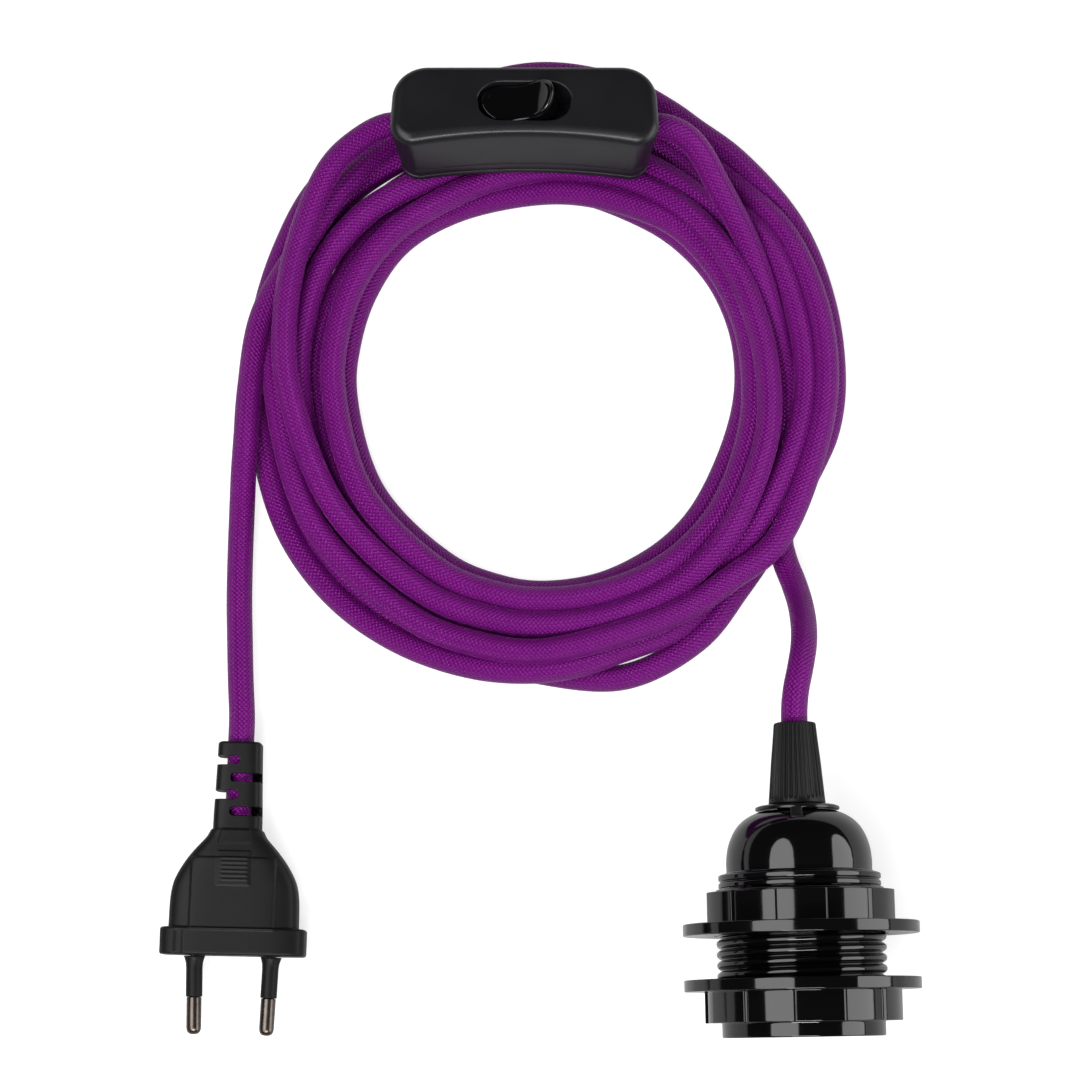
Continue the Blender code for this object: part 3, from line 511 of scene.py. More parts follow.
def turned(name, axis, outline, finish, sides=96, closed=True):
    """A lathe shape: the outline, (radius, station) points, carried round the axis."""
    outline = np.asarray(outline, float)
    turns = np.linspace(0, 2 * math.pi, sides, endpoint=False)[None]
    grid = axis.points(outline[:, :1], outline[:, 1:], turns)
    return surface(name, grid, finish, wrap=(closed, True), capped=not closed)


def eased(values, low, high):
    """0 below low, 1 above high, and a smooth step between."""
    t = np.clip((np.asarray(values, float) - low) / (high - low), 0, 1)
    return t * t * (3 - 2 * t)


HOLDER = Axis((0.0, -0.0370, 0.0279), (0, 1, 0), (0, 0, 1))
SKIRT_RADIUS = 0.0192
THREAD_RADIUS = 0.0200
THREAD_PITCH = 0.0025
THREAD_DEPTH = 0.0012
SLEEVE_END = 0.0346
SOCKET_RADIUS = 0.0133
SOCKET_DEPTH = 0.0245
LAMP_PITCH = 0.0036
LAMP_DEPTH = 0.0005


def threaded_sleeve():
    """The sleeve: radius = R - D c^2.5, with c the distance from the nearest crest, 0 to 1."""
    turns = np.linspace(0, 2 * math.pi, 120, endpoint=False)[None]
    skirt = filleted(
        [
            (SOCKET_RADIUS + 0.0006, 0.0),
            (SKIRT_RADIUS, 0.0),
            (SKIRT_RADIUS, 0.0034),
            (THREAD_RADIUS - 0.0002, 0.0040),
        ],
        0.0004,
    )[3:-3]
    stations = np.arange(0.0042, SLEEVE_END - 0.0004, 0.00014)[:, None]
    phase = stations / THREAD_PITCH - turns / (2 * math.pi)
    from_crest = 1 - np.abs(2 * (phase % 1.0) - 1)
    shown = eased(stations, 0.0040, 0.0052) * (1 - eased(stations, 0.0326, 0.0340))
    outside = THREAD_RADIUS - THREAD_DEPTH * from_crest**2.5 * shown
    shoulder = np.array(
        [
            (THREAD_RADIUS - 0.0003, SLEEVE_END),
            (0.0166, SLEEVE_END),
            (0.0165, SLEEVE_END + 0.0002),
            (0.0165, 0.0376),
            (0.0148, 0.0377),
            (0.0148, SOCKET_DEPTH),
            (SOCKET_RADIUS, SOCKET_DEPTH),
        ]
    )
    inner = np.arange(SOCKET_DEPTH - 0.0004, 0.0012, -0.0003)[:, None]
    wave = 0.5 + 0.5 * np.cos(2 * math.pi * (inner / LAMP_PITCH) - turns)
    inner_shown = eased(inner, 0.0010, 0.0030) * (1 - eased(inner, 0.0215, 0.0240))
    inside = SOCKET_RADIUS + LAMP_DEPTH * wave * inner_shown
    radii = [skirt[:, :1] + 0 * turns, outside, shoulder[:, :1] + 0 * turns, inside]
    levels = [skirt[:, 1:], stations, shoulder[:, 1:], inner]
    grid = HOLDER.points(np.vstack(radii), np.vstack(levels), turns)
    return surface("sleeve_moulding", grid, GLOSS_BLACK, wrap=(True, True))


hard(threaded_sleeve(), "glossy_black", "threaded_sleeve")

DOME_TOP = 0.0528
DOME_RADIUS = 0.01725
LEDGE_START = 0.0349
LEDGE_TOP = 0.0380
LEDGE_RADIUS = 0.0192
GROOVE_AT = 0.0364
DOME_DROPS = (
    (DOME_RADIUS, 0.0130),
    (DOME_RADIUS, 0.0118),
    (0.0169, 0.0088),
    (0.0161, 0.0062),
    (0.0148, 0.0038),
    (0.0131, 0.0020),
    (0.0108, 0.0006),
    (0.0092, 0.0),
)
dome = smooth_route([(r, DOME_TOP - drop, 0.0) for r, drop in DOME_DROPS], 0.0004)[0]
cap_foot = filleted(
    [
        (0.0166, LEDGE_START),
        (LEDGE_RADIUS, LEDGE_START),
        (LEDGE_RADIUS, GROOVE_AT - 0.00035),
        (LEDGE_RADIUS - 0.0006, GROOVE_AT),
        (LEDGE_RADIUS, GROOVE_AT + 0.00035),
        (LEDGE_RADIUS, LEDGE_TOP - 0.0001),
        (LEDGE_RADIUS - 0.0008, LEDGE_TOP + 0.0002),
        (DOME_RADIUS + 0.0003, LEDGE_TOP + 0.0003),
        (DOME_RADIUS, LEDGE_TOP + 0.0008),
    ],
    0.0003,
)
cap_inside = [
    (0.0053, DOME_TOP),
    (0.0053, DOME_TOP - 0.0024),
    (0.0104, DOME_TOP - 0.0032),
    (0.0138, DOME_TOP - 0.0064),
    (0.0151, DOME_TOP - 0.0108),
    (0.0151, LEDGE_TOP + 0.0004),
    (0.0166, LEDGE_TOP + 0.0004),
]
cap = turned(
    "cap_moulding", HOLDER, np.vstack([cap_foot, dome[:, :2], cap_inside]), GLOSS_BLACK, 144
)
hard(cap, "glossy_black", "cap")

COLLAR_LOW = 0.0531
COLLAR_HIGH = 0.0543
stem = turned(
    "stem_moulding",
    HOLDER,
    filleted(
        [
            (0.0036, 0.0458),
            (0.0048, 0.0458),
            (0.0048, COLLAR_LOW),
            (0.0100, COLLAR_LOW),
            (0.0100, COLLAR_HIGH - 0.0004),
            (0.0088, COLLAR_HIGH),
            (0.0048, COLLAR_HIGH),
            (0.0048, 0.0694),
            (0.0036, 0.0694),
        ],
        0.0003,
    ),
    STEM_BLACK,
    72,
)
hard(stem, "matt_black", "cord_grip_stem")


def block(lows, highs, round_by):
    """A block between two corners, its edges rounded: rings of rounded rectangles, end to end."""
    (x0, y0, z0), (x1, y1, z1) = lows, highs
    nearly_closed = 0.45 * min(x1 - x0, y1 - y0)
    # Each ring's distance from the end, and how far it is drawn in there
    end = ((0, nearly_closed), (0, 1.02 * round_by), (0.3 * round_by, 0.3 * round_by), (round_by, 0))
    levels = [(z0 + up, draw) for up, draw in end]
    levels += [(z1 - up, draw) for up, draw in end[::-1]]
    rings = []
    for z, draw in levels:
        left, right = x0 + draw, x1 - draw
        front, back = y0 + draw, y1 - draw
        flat = filleted([(left, front), (right, front), (right, back), (left, back)], round_by)
        rings.append(np.column_stack([flat, np.full(len(flat), z)]))
    return np.array(rings)


# The key that stops the stem from turning, bent down over the cap's edge under the collar
KEY_SIZE = np.array((0.0028, 0.0036, 0.0010))
KEY_PLACE = (-0.0012, 0.0148, 0.0396)
KEY_SLOPE = np.array(Matrix.Rotation(math.radians(-44), 3, "X"))
key = surface(
    "collar_key",
    block(-KEY_SIZE / 2, KEY_SIZE / 2, 0.0004) @ KEY_SLOPE.T + KEY_PLACE,
    GRIP_BLACK,
    wrap=(False, True),
    capped=True,
)
hard(key, "matt_black")

GRIP_START = 0.0546
GRIP_END = 0.0740
GRIP_RIBS = 32
RIB_DEPTH = 0.00042


def ribbed_grip():
    """The grip nut: a taper whose ribs are cos(n turn) waves, flattened on top."""
    turns = np.linspace(0, 2 * math.pi, GRIP_RIBS * 10, endpoint=False)[None]
    edge = filleted([(0.0051, GRIP_START), (0.0068, GRIP_START), (0.0066, 0.0556)], 0.0003)[4:8]
    taper = np.linspace(0.0552, GRIP_END - 0.0004, 40)
    radius = np.interp(taper, (0.0546, 0.0603, 0.0650, 0.0697, 0.0740), (6.8, 6.3, 5.9, 5.4, 5.0))
    end = np.array([(0.0048, GRIP_END - 0.0001), (0.0045, GRIP_END), (0.0037, GRIP_END)])
    inside = np.array([(0.0036, 0.0697), (0.0051, 0.0697)])
    profile = np.vstack([edge, np.column_stack([radius * 0.001, taper]), end, inside])
    cut = eased(profile[:, 1:], 0.0556, 0.0562) * (profile[:, :1] > 0.0048)
    wave = 0.5 - 0.5 * np.cos(GRIP_RIBS * turns)
    radii = profile[:, :1] - RIB_DEPTH * cut * wave**1.5
    grid = HOLDER.points(radii, profile[:, 1:], turns)
    return surface("grip_moulding", grid, GRIP_BLACK, wrap=(True, True))


hard(ribbed_grip(), "matt_black", "cord_grip_nut")


# The shade rings
# Two rings moulded in the same phenolic, run on the sleeve's thread to clamp a lampshade between
# their flanges. Their bodies are stepped in twelve sectors, to be turned by hand.

RING_BORE = 0.02045
FLANGE_RADIUS = 0.0279
FLANGE_THICK = 0.0028
RING_LENGTH = 0.0101
STEP_DEPTH = 0.0009
RING_SECTORS = 12
SECTOR_DEGREES = (0.0, 0.35, 0.7, 1.1, 2.0, 6.0, 11.0, 15.0, 19.0, 24.0, 28.0, 28.9, 29.3, 29.65)


def shade_ring(name, start, flange_first, radius, phase, body):
    """A ring: its body's radius drops by the step's depth in every other sector."""
    within = np.array(SECTOR_DEGREES)
    sectors = np.arange(RING_SECTORS)
    turns = np.radians((phase + sectors[:, None] * 360 / RING_SECTORS + within).ravel())[None]
    # 0 in a raised sector and 1 in a lowered one, changing over the last degree of each
    lowered = np.repeat(sectors % 2, len(within))
    low = np.abs(lowered - np.tile(eased(within, 28.9, 30.35), RING_SECTORS))[None]
    corners = [
        (RING_BORE, 0.0, 0),
        (FLANGE_RADIUS, 0.0, 0),
        (FLANGE_RADIUS, FLANGE_THICK, 0),
        (radius, FLANGE_THICK, 1),
        (radius, RING_LENGTH, 1),
        (RING_BORE, RING_LENGTH, 0),
    ]
    profile = filleted([(r, s, 0.001 * stepped) for r, s, stepped in corners], 0.00032, 4)
    drop = eased(profile[:, 2:], 0.0, 0.001) * STEP_DEPTH
    drop[profile[:, :1] > radius + 0.0001] = 0.0
    radii = profile[:, :1] - drop * low
    stations = profile[:, 1:2]
    if not flange_first:
        stations = RING_LENGTH - stations[::-1]
        radii = radii[::-1]
    grid = HOLDER.points(radii, start + stations, turns)
    return surface(name, grid, GLOSS_BLACK, body=body, wrap=(True, True))


lower = shade_ring("lower_ring_moulding", 0.0035, False, 0.0233, -9.5, "ring_lower")
hard(lower, "glossy_black", "shade_ring_lower")
upper = shade_ring("upper_ring_moulding", 0.0238, True, 0.0228, -18.5, "ring_upper")
hard(upper, "glossy_black", "shade_ring_upper")


# The plug
# A flat two-pin plug moulded in satin black vinyl round the cord's end: a raised panel with a
# ribbed thumb patch, a flange at the front, and a relief cut by slots so that it bends.

PLUG_BLACK = moulding(
    "satin_black_vinyl", (0.0046, 0.0046, 0.0048), 0.42, 0.00022, 0.00003, shine=0.14
)
PLUG_PLACE = np.array((-0.1362, -0.0152, 0.00685))
PLUG_TURN = math.radians(-2.3)
THUMB_RIB_PITCH = 0.00105
plug_right = np.array((math.cos(PLUG_TURN), math.sin(PLUG_TURN), 0.0))
plug_along = np.array((-math.sin(PLUG_TURN), math.cos(PLUG_TURN), 0.0))
PLUG_UP = np.array((0.0, 0.0, 1.0))
FLANGE_HALF_WIDTH = 0.01765
# Half width and half thickness at stations from the front face
PLUG_SHAPE = (
    (0.00675, 0.01570, 0.0062),
    (0.0140, 0.0155, 0.0062),
    (0.0170, 0.0150, 0.0062),
    (0.0189, 0.0143, 0.0062),
    (0.0208, 0.0133, 0.0062),
    (0.0227, 0.0121, 0.0062),
    (0.0247, 0.0106, 0.0060),
    (0.0267, 0.0089, 0.0057),
    (0.0286, 0.0072, 0.0054),
    (0.0302, 0.00635, 0.0052),
)
RELIEF_SHAPE = (
    (0.0306, 0.00585, 0.0050),
    (0.0345, 0.0058, 0.0048),
    (0.0400, 0.0056, 0.0048),
    (0.0470, 0.0054, 0.0048),
    (0.0513, 0.0053, 0.0048),
)


def patch(x, y, left, right, front, back, edge=0.00025):
    """1 inside that rectangle of the plug's face, 0 outside, with soft edges."""
    inside = eased(x, left, left + edge) * (1 - eased(x, right - edge, right))
    return inside * eased(y, front, front + edge) * (1 - eased(y, back - edge, back))


def plug_relief(x, y):
    """The height of the details moulded on the plug's two faces, in metres."""
    panel = patch(x, y, -0.0104, 0.0102, 0.0060, 0.0236)
    thumb = patch(x, y, -0.0042, 0.0040, 0.0166, 0.0252)
    ribs = patch(x, y, -0.0032, 0.0034, 0.0176, 0.0238)
    ribs *= eased(np.sin(2 * math.pi * y / THUMB_RIB_PITCH), -0.4, 0.7)
    narrowing = 0.0006 * (y - 0.0268) / 0.0032
    tongue = patch(np.abs(x) + narrowing, y, -1.0, 0.0042, 0.0268, 0.0304)
    band = patch(x, y, -0.0138, -0.0117, -0.0010, 0.0061)
    return 0.00042 * panel + 0.00022 * thumb + 0.0002 * ribs + 0.0005 * tongue - 0.0003 * band


def plug_section(half_width, half_thick, power):
    """Half a superellipse |x/a|^p + |z/b|^p = 1 twice over, its points even along the faces."""
    flat = 0.94
    side = (1 - flat**power) ** (1 / power)
    u = np.linspace(-flat, flat, 92)
    top = np.column_stack([u * half_width, half_thick * (1 - np.abs(u) ** power) ** (1 / power)])
    v = np.linspace(side, -side, 14)[1:-1]
    right = np.column_stack([half_width * (1 - np.abs(v) ** power) ** (1 / power), v * half_thick])
    return np.vstack([top, right, -top, -right])


def plug_shell():
    """The plug's moulding: sections from the front face to the relief's end, and the bore back."""
    # The flange, as shares of its half width and half thickness
    rows = [(0.0, 0.35, 0.3), (0.0, 0.97, 0.93), (0.0001, 0.985, 0.965)]
    rows += [(0.0003, 0.995, 0.99), (0.0006, 1.0, 1.0)]
    rows += [(y, 1.0, 1.0) for y in np.arange(0.0010, 0.0061, 0.0003)]
    rows += [(0.0063, 0.995, 0.99), (0.0065, 0.985, 0.965), (0.0066, 0.97, 0.93)]
    rows = [(y, FLANGE_HALF_WIDTH * w, PLUG_PLACE[2] * t, 5.0) for y, w, t in rows]
    for shape in (PLUG_SHAPE, RELIEF_SHAPE):
        rows += [(y, w, t, 4.5) for y, w, t in smooth_route(shape, 0.00021)[0]]
    rows += [(0.0516, 0.0051, 0.0046, 4.5), (0.0518, 0.0048, 0.0043, 4.5)]
    grid = []
    for y, half_width, half_thick, power in rows:
        section = plug_section(half_width, half_thick, power)
        face = np.abs(section[:, 1]) > 0.72 * half_thick
        section[:, 1] += np.sign(section[:, 1]) * face * plug_relief(section[:, 0], y)
        section[:, 1] = np.maximum(section[:, 1], -PLUG_PLACE[2])
        grid.append(np.column_stack([section[:, 0], np.full(len(section), y), section[:, 1]]))
    angles = np.arctan2(grid[-1][:, 0], grid[-1][:, 2])
    for y, radius in ((0.0518, 0.0037), (0.0514, 0.0036), (0.0300, 0.0036), (0.0300, 0.0004)):
        ring = [np.sin(angles) * radius, np.full(len(angles), y), np.cos(angles) * radius]
        grid.append(np.column_stack(ring))
    return np.array(grid)


def on_plug(grid):
    """Plug coordinates, x to its right, y towards the cord and z up, in the frame."""
    flat = grid[..., :1] * plug_right + grid[..., 1:2] * plug_along
    return PLUG_PLACE + flat + grid[..., 2:] * PLUG_UP


def carve(piece, cutters):
    """Cuts the cutters out of the piece for good."""
    for cutter in cutters:
        cut = piece.modifiers.new("cut", "BOOLEAN")
        cut.operation = "DIFFERENCE"
        cut.object = cutter
    graph = bpy.context.evaluated_depsgraph_get()
    mesh = bpy.data.meshes.new_from_object(piece.evaluated_get(graph))
    piece.modifiers.clear()
    piece.data = mesh
    for cutter in cutters:
        bpy.data.objects.remove(cutter)


def prism(name, outline, low, high, place):
    """A cutter: the outline, counterclockwise, between two levels, put in place by a function."""
    rings = [np.column_stack([outline, np.full(len(outline), z)]) for z in (low, high)]
    count = len(outline)
    faces = [[i, (i + 1) % count, count + (i + 1) % count, count + i] for i in range(count)]
    faces += [list(range(count))[::-1], list(range(count, 2 * count))]
    mesh = bpy.data.meshes.new(name)
    mesh.from_pydata(place(np.vstack(rings)).tolist(), [], faces)
    made = bpy.data.objects.new(name, mesh)
    bpy.context.scene.collection.objects.link(made)
    return made


plug = surface("plug_moulding", on_plug(plug_shell()), PLUG_BLACK, wrap=(False, True), capped=True)
SLOT_HALF = 0.0011
slots = []
for y, side in ((0.0472, -1), (0.0430, 1), (0.0388, -1), (0.0348, 1)):
    left, right = (-0.0080, 0.0004) if side < 0 else (-0.0018, 0.0080)
    front, back = y - SLOT_HALF, y + SLOT_HALF
    outline = filleted([(left, front), (right, front), (right, back), (left, back)], 0.0010, 5)
    depth = -0.010 if side < 0 else -0.0012
    slots.append(prism("slot", outline, depth, 0.010, on_plug))
carve(plug, slots)
hard(plug, "plug_black", "plug_body")


def nickel():
    """Dull nickel plating with fine marks drawn along the pin."""
    finish = Finish("dull_nickel", Metallic=1.0)
    drawn = finish.node("Mapping", {}, {0: finish.place(), "Scale": (9.0, 0.5, 9.0)})
    marks = finish.noise(900.0, 3.0, drawn)
    stain = finish.noise(240.0, 3.0)
    finish.set(
        Base_Color=finish.blend(stain, (0.060, 0.048, 0.040), (0.155, 0.130, 0.115)),
        Roughness=0.20 + marks * 0.16,
        Normal=finish.bump(marks, 0.00001, 0.5),
    )
    return finish


NICKEL = nickel()
for name, side in (("left", -1), ("right", 1)):
    foot, tip = on_plug(np.array(((side * 0.0093, 0.0, 0.0), (side * 0.00875, -0.0190, 0.0))))
    pin_axis = Axis(foot, tip - foot, (0, 0, 1))
    pin = turned(
        f"{name}_pin_metal",
        pin_axis,
        [
            (0.00001, -0.0080),
            (0.0011, -0.0080),
            (0.0012, 0.0100),
            (0.0017, 0.0101),
            (0.0018, 0.0103),
            (0.0018, 0.0172),
            (0.00172, 0.0179),
            (0.0015, 0.0184),
            (0.0011, 0.0188),
            (0.0006, 0.01895),
            (0.00001, 0.0190),
        ],
        NICKEL,
        40,
        closed=False,
    )
    hard(pin, "nickel", f"pin_{name}")
    sleeve = turned(
        f"{name}_pin_insulation",
        pin_axis,
        [
            (0.0015, 0.0002),
            (0.0026, 0.0002),
            (0.0024, 0.0007),
            (0.0021, 0.0018),
            (0.0020, 0.0030),
            (0.0020, 0.0097),
            (0.0019, 0.0100),
            (0.0015, 0.0100),
        ],
        PLUG_BLACK,
        40,
    )
    hard(sleeve, "plug_black", f"pin_sleeve_{name}")


# The cord switch
# A snap-together case in fine-grained matt black plastic, hollowed along one side for the thumb,
# with a glossy dished rocker in an oval opening.

SWITCH_BLACK = moulding(
    "matt_black_case", (0.0060, 0.0060, 0.0074), 0.34, 0.00018, 0.00003, shine=0.34
)
ROCKER_BLACK = moulding("glossy_black_rocker", DEEP_BLACK, 0.07, 0.004, 0.00002, shine=0.42)
SWITCH_PLACE = np.array((-0.0620, 0.1856, 0.0112))
SWITCH_TILT = math.radians(-16.0)
SWITCH_TURN = math.radians(-1.0)
SWITCH_LENGTH = 0.0660
SWITCH_WIDTH = 0.0230
SWITCH_HEIGHT = 0.0200
SWITCH_HOLLOW = 0.0026
SWITCH_CORNER = 0.0062
SWITCH_FAR_CORNER = 0.0088
SWITCH_TAPER = 0.016
SWITCH_DRAFT = 0.0014
SWITCH_FLARE = 0.022
SWITCH_WALL = 0.0019
SWITCH_PARTING = 0.0025
OPENING_LENGTH = 0.0226
OPENING_WIDTH = 0.0112
OPENING_OFFSET = 0.0004
ROCKER_PIVOT = 0.0160
ROCKER_PRESS = math.radians(-16.0)
CORD_ENTRY_HEIGHT = 0.0095
CORD_ENTRY_RADIUS = 0.0036

switch_frame = np.array(Matrix.Rotation(SWITCH_TURN, 3, "Z") @ Matrix.Rotation(SWITCH_TILT, 3, "X"))


def on_switch(grid):
    """Switch coordinates, x along the cord and z out of the rocker's face, in the frame."""
    return SWITCH_PLACE + grid @ switch_frame.T


def case_outline(inset):
    """A rounded rectangle drawn in by inset, its -y side hollowed by a parabola, tapering to +y."""
    half_length = SWITCH_LENGTH / 2 - inset
    half_width = SWITCH_WIDTH / 2 - inset
    hollow = SWITCH_HOLLOW * (1 - 0.2 * min(inset / SWITCH_DRAFT, 1.0))
    points = []
    for side_x, side_y, start in ((1, 1, 0), (-1, 1, 90), (-1, -1, 180), (1, -1, 270)):
        corner = max((SWITCH_FAR_CORNER if side_y > 0 else SWITCH_CORNER) - inset, 0.0012)
        straight = half_length - corner
        middle = np.array((side_x * straight, side_y * (half_width - corner)))
        for angle in np.radians(np.linspace(start, start + 90, 13)):
            points.append(middle + corner * np.array((math.cos(angle), math.sin(angle))))
        if start == 0 or start == 180:
            way = 1 if start == 180 else -1
            for x in np.linspace(-straight, straight, 30)[1:-1] * way:
                y = half_width if start == 0 else hollow * (1 - (x / straight) ** 2) - half_width
                points.append(np.array((x, y)))
    points = np.array(points)
    points[:, 0] *= 1 - SWITCH_TAPER * (1 + points[:, 1] / half_width)
    return points


def opening_outline(toward, grow):
    """The oval opening, grown by grow, at the bearings of the points toward."""
    radius = OPENING_WIDTH / 2 + grow
    straight = (OPENING_LENGTH - OPENING_WIDTH) / 2
    bearing = toward - (0, OPENING_OFFSET)
    bearing = bearing / np.linalg.norm(bearing, axis=1)[:, None]
    bx, by = np.abs(bearing[:, 0]), np.abs(bearing[:, 1])
    reach = radius / np.maximum(by, 1e-9)
    round_end = bx * reach > straight
    arc = straight * bx + np.sqrt(np.maximum(radius**2 - (straight * by) ** 2, 0))
    return bearing * np.where(round_end, arc, reach)[:, None] + (0, OPENING_OFFSET)


def layer(outline, z):
    """The outline as a ring of points at that height."""
    return np.column_stack([outline, np.broadcast_to(z, len(outline))])


def flared(rings):
    """The rings widened towards the top and narrowed towards the base, along the switch."""
    rings = np.array(rings)
    rings[..., 0] *= 1 + SWITCH_FLARE * (2 * rings[..., 2] / SWITCH_HEIGHT - 1)
    return rings


def switch_cover():
    """The cover: up its outside, in over the top, down the opening and back along the inside."""

    def draft(z):
        return SWITCH_DRAFT * (1 - z / SWITCH_HEIGHT)

    rim = 0.0026
    ceiling = SWITCH_HEIGHT - SWITCH_WALL
    rings = [layer(case_outline(draft(SWITCH_PARTING) + 0.0003), SWITCH_PARTING)]
    for z in (SWITCH_PARTING + 0.0002, 0.0045):
        rings.append(layer(case_outline(draft(z)), z))
    # A fine groove round the case
    for z, cut in ((0.0047, 0.00004), (0.0049, 0.00024), (0.0052, 0.00024), (0.0054, 0.00004)):
        rings.append(layer(case_outline(draft(z) + cut), z))
    for z in (0.0056, 0.0080, 0.0120, 0.0150, SWITCH_HEIGHT - rim):
        rings.append(layer(case_outline(draft(z)), z))
    for angle in np.radians((15, 30, 45, 60, 75, 90)):
        drawn = draft(SWITCH_HEIGHT - rim) + rim * (1 - math.cos(angle))
        rings.append(layer(case_outline(drawn), SWITCH_HEIGHT - rim * (1 - math.sin(angle))))
    edge = case_outline(draft(SWITCH_HEIGHT - rim) + rim + 0.0002)
    hole = opening_outline(edge, 0.0005)
    for part in (0.0, 0.25, 0.5, 0.75, 1.0):
        rings.append(layer(edge + part * (hole - edge), SWITCH_HEIGHT))
    for grow, drop in ((0.00025, 0.00006), (0.0001, 0.0002), (0.0, 0.0005), (0.0, 0.0078)):
        rings.append(layer(opening_outline(edge, grow), SWITCH_HEIGHT - drop))
    rings.append(layer(opening_outline(edge, 0.0012), 0.0122))
    rings.append(layer(opening_outline(edge, 0.0012), ceiling))
    inner = case_outline(SWITCH_DRAFT + SWITCH_WALL)
    rings.append(layer(inner, ceiling))
    rings.append(layer(inner, SWITCH_PARTING))
    return flared(rings)


def through_switch(points):
    """A cutter's points, stood along the cord's entry instead of up."""
    along = np.column_stack([points[:, 2], points[:, 0], points[:, 1] + CORD_ENTRY_HEIGHT])
    return on_switch(along)


cover = surface("switch_case_top", on_switch(switch_cover()), SWITCH_BLACK, wrap=(True, True))
hole_turns = np.linspace(0, 2 * math.pi, 40, endpoint=False)
hole_ring = CORD_ENTRY_RADIUS * np.column_stack([np.cos(hole_turns), np.sin(hole_turns)])
carve(cover, [prism("cord_entry", hole_ring, -0.040, 0.040, through_switch)])
hard(cover, "matt_black", "switch_cover")


def switch_tray():
    """The base: a shallow tray under the cover, a hair wider than it at the parting line."""
    rings = [layer(0.02 * case_outline(0.0), 0.0)]
    for inset, z in ((0.0019, 0.0), (0.0015, 0.0002), (0.0012, 0.0007)):
        rings.append(layer(case_outline(inset), z))
    for inset, z in ((0.0011, 0.0019), (0.0012, 0.0021), (0.0018, 0.0022)):
        rings.append(layer(case_outline(inset), z))
    rings.append(layer(0.02 * case_outline(0.0), 0.0022))
    return flared(rings)


tray = surface(
    "switch_case_base", on_switch(switch_tray()), SWITCH_BLACK, wrap=(False, True), capped=True
)
hard(tray, "matt_black", "switch_base")

# A dark sheet across the rocker's well above the contacts, shaped like a dust shield: it is painted
# shade, so the brass below does not show in the well
SHADE_SHEET_LOW = 0.0117
SHADE_SHEET_HIGH = 0.0121
shade_sheet_middle = np.array((0, OPENING_OFFSET))
shade_sheet_reach = opening_outline(case_outline(0.004), 0.0010) - shade_sheet_middle
shade_sheet_rings = [
    layer(shade_sheet_middle + scale * shade_sheet_reach, z)
    for scale, z in ((0.01, SHADE_SHEET_LOW), (1.0, SHADE_SHEET_LOW), (1.0, SHADE_SHEET_HIGH), (0.01, SHADE_SHEET_HIGH))
]
shade_sheet = surface(
    "well_shade_sheet", on_switch(np.array(shade_sheet_rings)), SWITCH_BLACK, wrap=(False, True), capped=True
)
hard(shade_sheet, "matt_black")

ROCKER_HALF = 0.0093
ROCKER_WIDTH = 0.0104
rocker_turn = np.array(Matrix.Rotation(ROCKER_PRESS, 3, "Y"))


def rocker_shape():
    """The rocker: its top dished as z = a + b (x / half)^2, its underside half an ellipse."""
    radius = ROCKER_WIDTH / 2
    straight = ROCKER_HALF - radius
    angles = np.linspace(-math.pi / 2, math.pi / 2, 25)
    end = np.column_stack([straight + radius * np.cos(angles), radius * np.sin(angles)])
    side = np.linspace(straight, -straight, 18)[1:-1]
    upper_side = np.column_stack([side, np.full(len(side), radius)])
    plan = np.vstack([end, upper_side, -end, -upper_side])

    def top(x, y):
        return 0.0031 + 0.0039 * (x / ROCKER_HALF) ** 2 + 0.0002 * (y / radius) ** 2

    def under(x):
        return 0.0026 - 0.0056 * np.sqrt(np.maximum(1 - (x / ROCKER_HALF) ** 2, 0))

    rings = []
    for scale in (0.02, 0.3, 0.6, 0.85, 0.97, 1.0):
        flat = plan * scale
        rings.append(layer(flat, under(flat[:, 0])))
    crest = top(plan[:, 0], plan[:, 1])
    for part in (0.3, 0.6, 0.9):
        low = under(plan[:, 0])
        rings.append(layer(plan, low + part * (crest - 0.0006 - low)))
    for drawn, drop in ((0.0, 0.0006), (0.012, 0.00033), (0.035, 0.00014), (0.065, 0.00004)):
        rings.append(layer(plan * (1 - drawn), crest - drop))
    for scale in (0.85, 0.8, 0.7, 0.55, 0.4, 0.25, 0.1, 0.01):
        flat = plan * scale
        rings.append(layer(flat, top(flat[:, 0], flat[:, 1])))
    return np.array(rings) @ rocker_turn.T + (0, OPENING_OFFSET, ROCKER_PIVOT)


rocker = surface(
    "rocker_moulding",
    on_switch(rocker_shape()),
    ROCKER_BLACK,
    body="rocker",
    wrap=(False, True),
    capped=True,
)
hard(rocker, "glossy_black", "rocker")


# What is inside
# Stamped brass contacts and terminals, plated steel screws, nut and spring, a glazed ceramic
# block, and the two cores of the flex. The CAD nodes are shown, each with its finish.


def stamped(name, dark, light, roughness):
    """Sheet metal: rolled marks one way, a cloudy tarnish, small scratches."""
    finish = Finish(name, Metallic=1.0)
    rolled = finish.node("Mapping", {}, {0: finish.place(), "Scale": (1.0, 12.0, 12.0)})
    marks = finish.noise(500.0, 3.0, rolled)
    tarnish = finish.noise(180.0, 4.0)
    finish.set(
        Base_Color=finish.blend(tarnish, dark, light),
        Roughness=roughness + marks * 0.2,
        Normal=finish.bump(marks, 0.00001, 0.5),
    )
    return finish


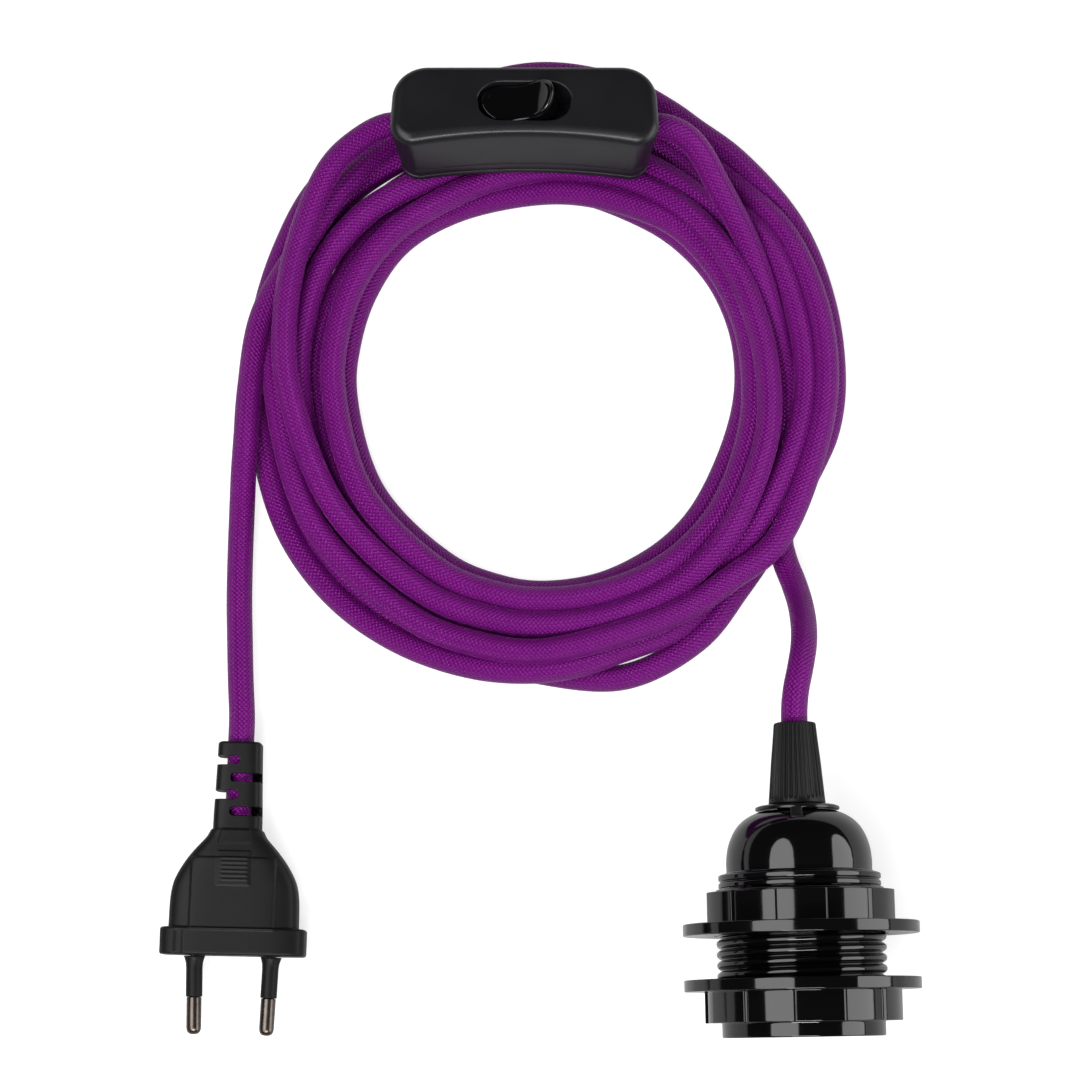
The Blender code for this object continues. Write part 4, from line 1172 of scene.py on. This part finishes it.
BRASS = stamped("stamped_brass", (0.46, 0.27, 0.08), (0.72, 0.50, 0.20), 0.22)
STEEL = stamped("zinc_plated_steel", (0.38, 0.38, 0.40), (0.64, 0.64, 0.66), 0.28)
CERAMIC = moulding("glazed_ceramic", (0.66, 0.64, 0.59), 0.16, 0.0006, 0.00001, mottle=0.12)
CORES = {
    "core_brown": moulding("brown_insulation", (0.12, 0.045, 0.016), 0.34, 0.0005, 0.00001),
    "core_blue": moulding("blue_insulation", (0.02, 0.09, 0.36), 0.34, 0.0005, 0.00001),
}
INSIDES = (
    ("contact", BRASS),
    ("terminal_screw", STEEL),
    ("line_terminal", BRASS),
    ("neutral_link", BRASS),
    ("screw", STEEL),
    ("lock_nut", STEEL),
    ("spring", STEEL),
    ("terminal_block", CERAMIC),
    ("cord_clamp", SWITCH_BLACK),
)
for node_name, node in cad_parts.items():
    finish = CORES.get(node_name)
    for word, look in INSIDES:
        if finish is None and word in node_name:
            finish = look
    if finish is not None:
        for place in range(len(node.material_slots)):
            node.material_slots[place].material = finish.material


# The white set
# A pale table under two large oval soft lamps and a small strong one in front, in a dark room that
# the glossy mouldings mirror as black. The table glows, more so far away: it prints white, with
# faint shadows round the set.

floor_mesh = bpy.data.meshes.new("floor")
floor_mesh.from_pydata([(-3, -3, 0), (3, -3, 0), (3, 3, 0), (-3, 3, 0)], [], [(0, 1, 2, 3)])
floor = bpy.data.objects.new("floor", floor_mesh)
bpy.context.scene.collection.objects.link(floor)
TABLE_GLOW = 0.72
GLOW_REACH = 0.40
MIRRORED_SHARE = 0.12
paper = Finish("white_table", Base_Color=(0.40, 0.40, 0.40), Roughness=0.9)
mirrored = paper.node("LightPath", output="Is Glossy Ray")
shown = paper.node("LightPath", output="Is Camera Ray").over(mirrored * MIRRORED_SHARE)
east = paper.node("SeparateXYZ", {}, {0: paper.place()}, "X")
north = paper.node("SeparateXYZ", {}, {0: paper.place()}, "Y")
away = (((east * east + north * north) ** 0.5 - GLOW_REACH) / GLOW_REACH).clamped()
glow = shown * (TABLE_GLOW + (1.0 - TABLE_GLOW) * away)
glow_colour = paper.blend(glow, (0.0, 0.0, 0.0), (1.0, 1.0, 1.0))
paper.set(Emission_Color=glow_colour, Emission_Strength=1.0)
floor_mesh.materials.append(paper.material)

ROOM_LEVEL = 0.035
world = bpy.data.worlds.new("studio")
bpy.context.scene.world = world
world.use_nodes = True
world_tree = world.node_tree
background = world_tree.nodes["Background"]
background.inputs["Color"].default_value = (1.0, 1.0, 1.0, 1.0)
seen = world_tree.nodes.new("ShaderNodeLightPath")
level = world_tree.nodes.new("ShaderNodeMapRange")
level.inputs["To Min"].default_value = ROOM_LEVEL
world_tree.links.new(seen.outputs["Is Camera Ray"], level.inputs["Value"])
world_tree.links.new(level.outputs["Result"], background.inputs["Strength"])


def lamp(name, shape, lean, distance, width, length, radiance):
    """A flat lamp facing the set, leaning (towards +X, towards +Y) degrees off the vertical."""
    light = bpy.data.lights.new(name, "AREA")
    light.shape = shape
    light.size = width
    light.size_y = length
    area = width * length * (math.pi / 4 if shape == "ELLIPSE" else 1.0)
    light.energy = radiance * math.pi * area
    made = bpy.data.objects.new(name, light)
    bpy.context.scene.collection.objects.link(made)
    across_turn = Matrix.Rotation(math.radians(lean[0]), 4, "Y")
    along_turn = Matrix.Rotation(math.radians(-lean[1]), 4, "X")
    set_middle = Matrix.Translation((0, 0, 0.03))
    out_to_lamp = Matrix.Translation((0, 0, distance))
    made.matrix_world = set_middle @ across_turn @ along_turn @ out_to_lamp


lamp("lamp_left", "ELLIPSE", (-32.0, 0.0), 1.5, 1.06, 2.4, 4.2)
lamp("lamp_right", "ELLIPSE", (69.0, 0.0), 1.5, 1.04, 2.4, 3.8)
lamp("lamp_front", "RECTANGLE", (-3.0, -36.0), 1.5, 0.9, 0.25, 26.0)

bpy.context.scene.view_settings.view_transform = "Standard"
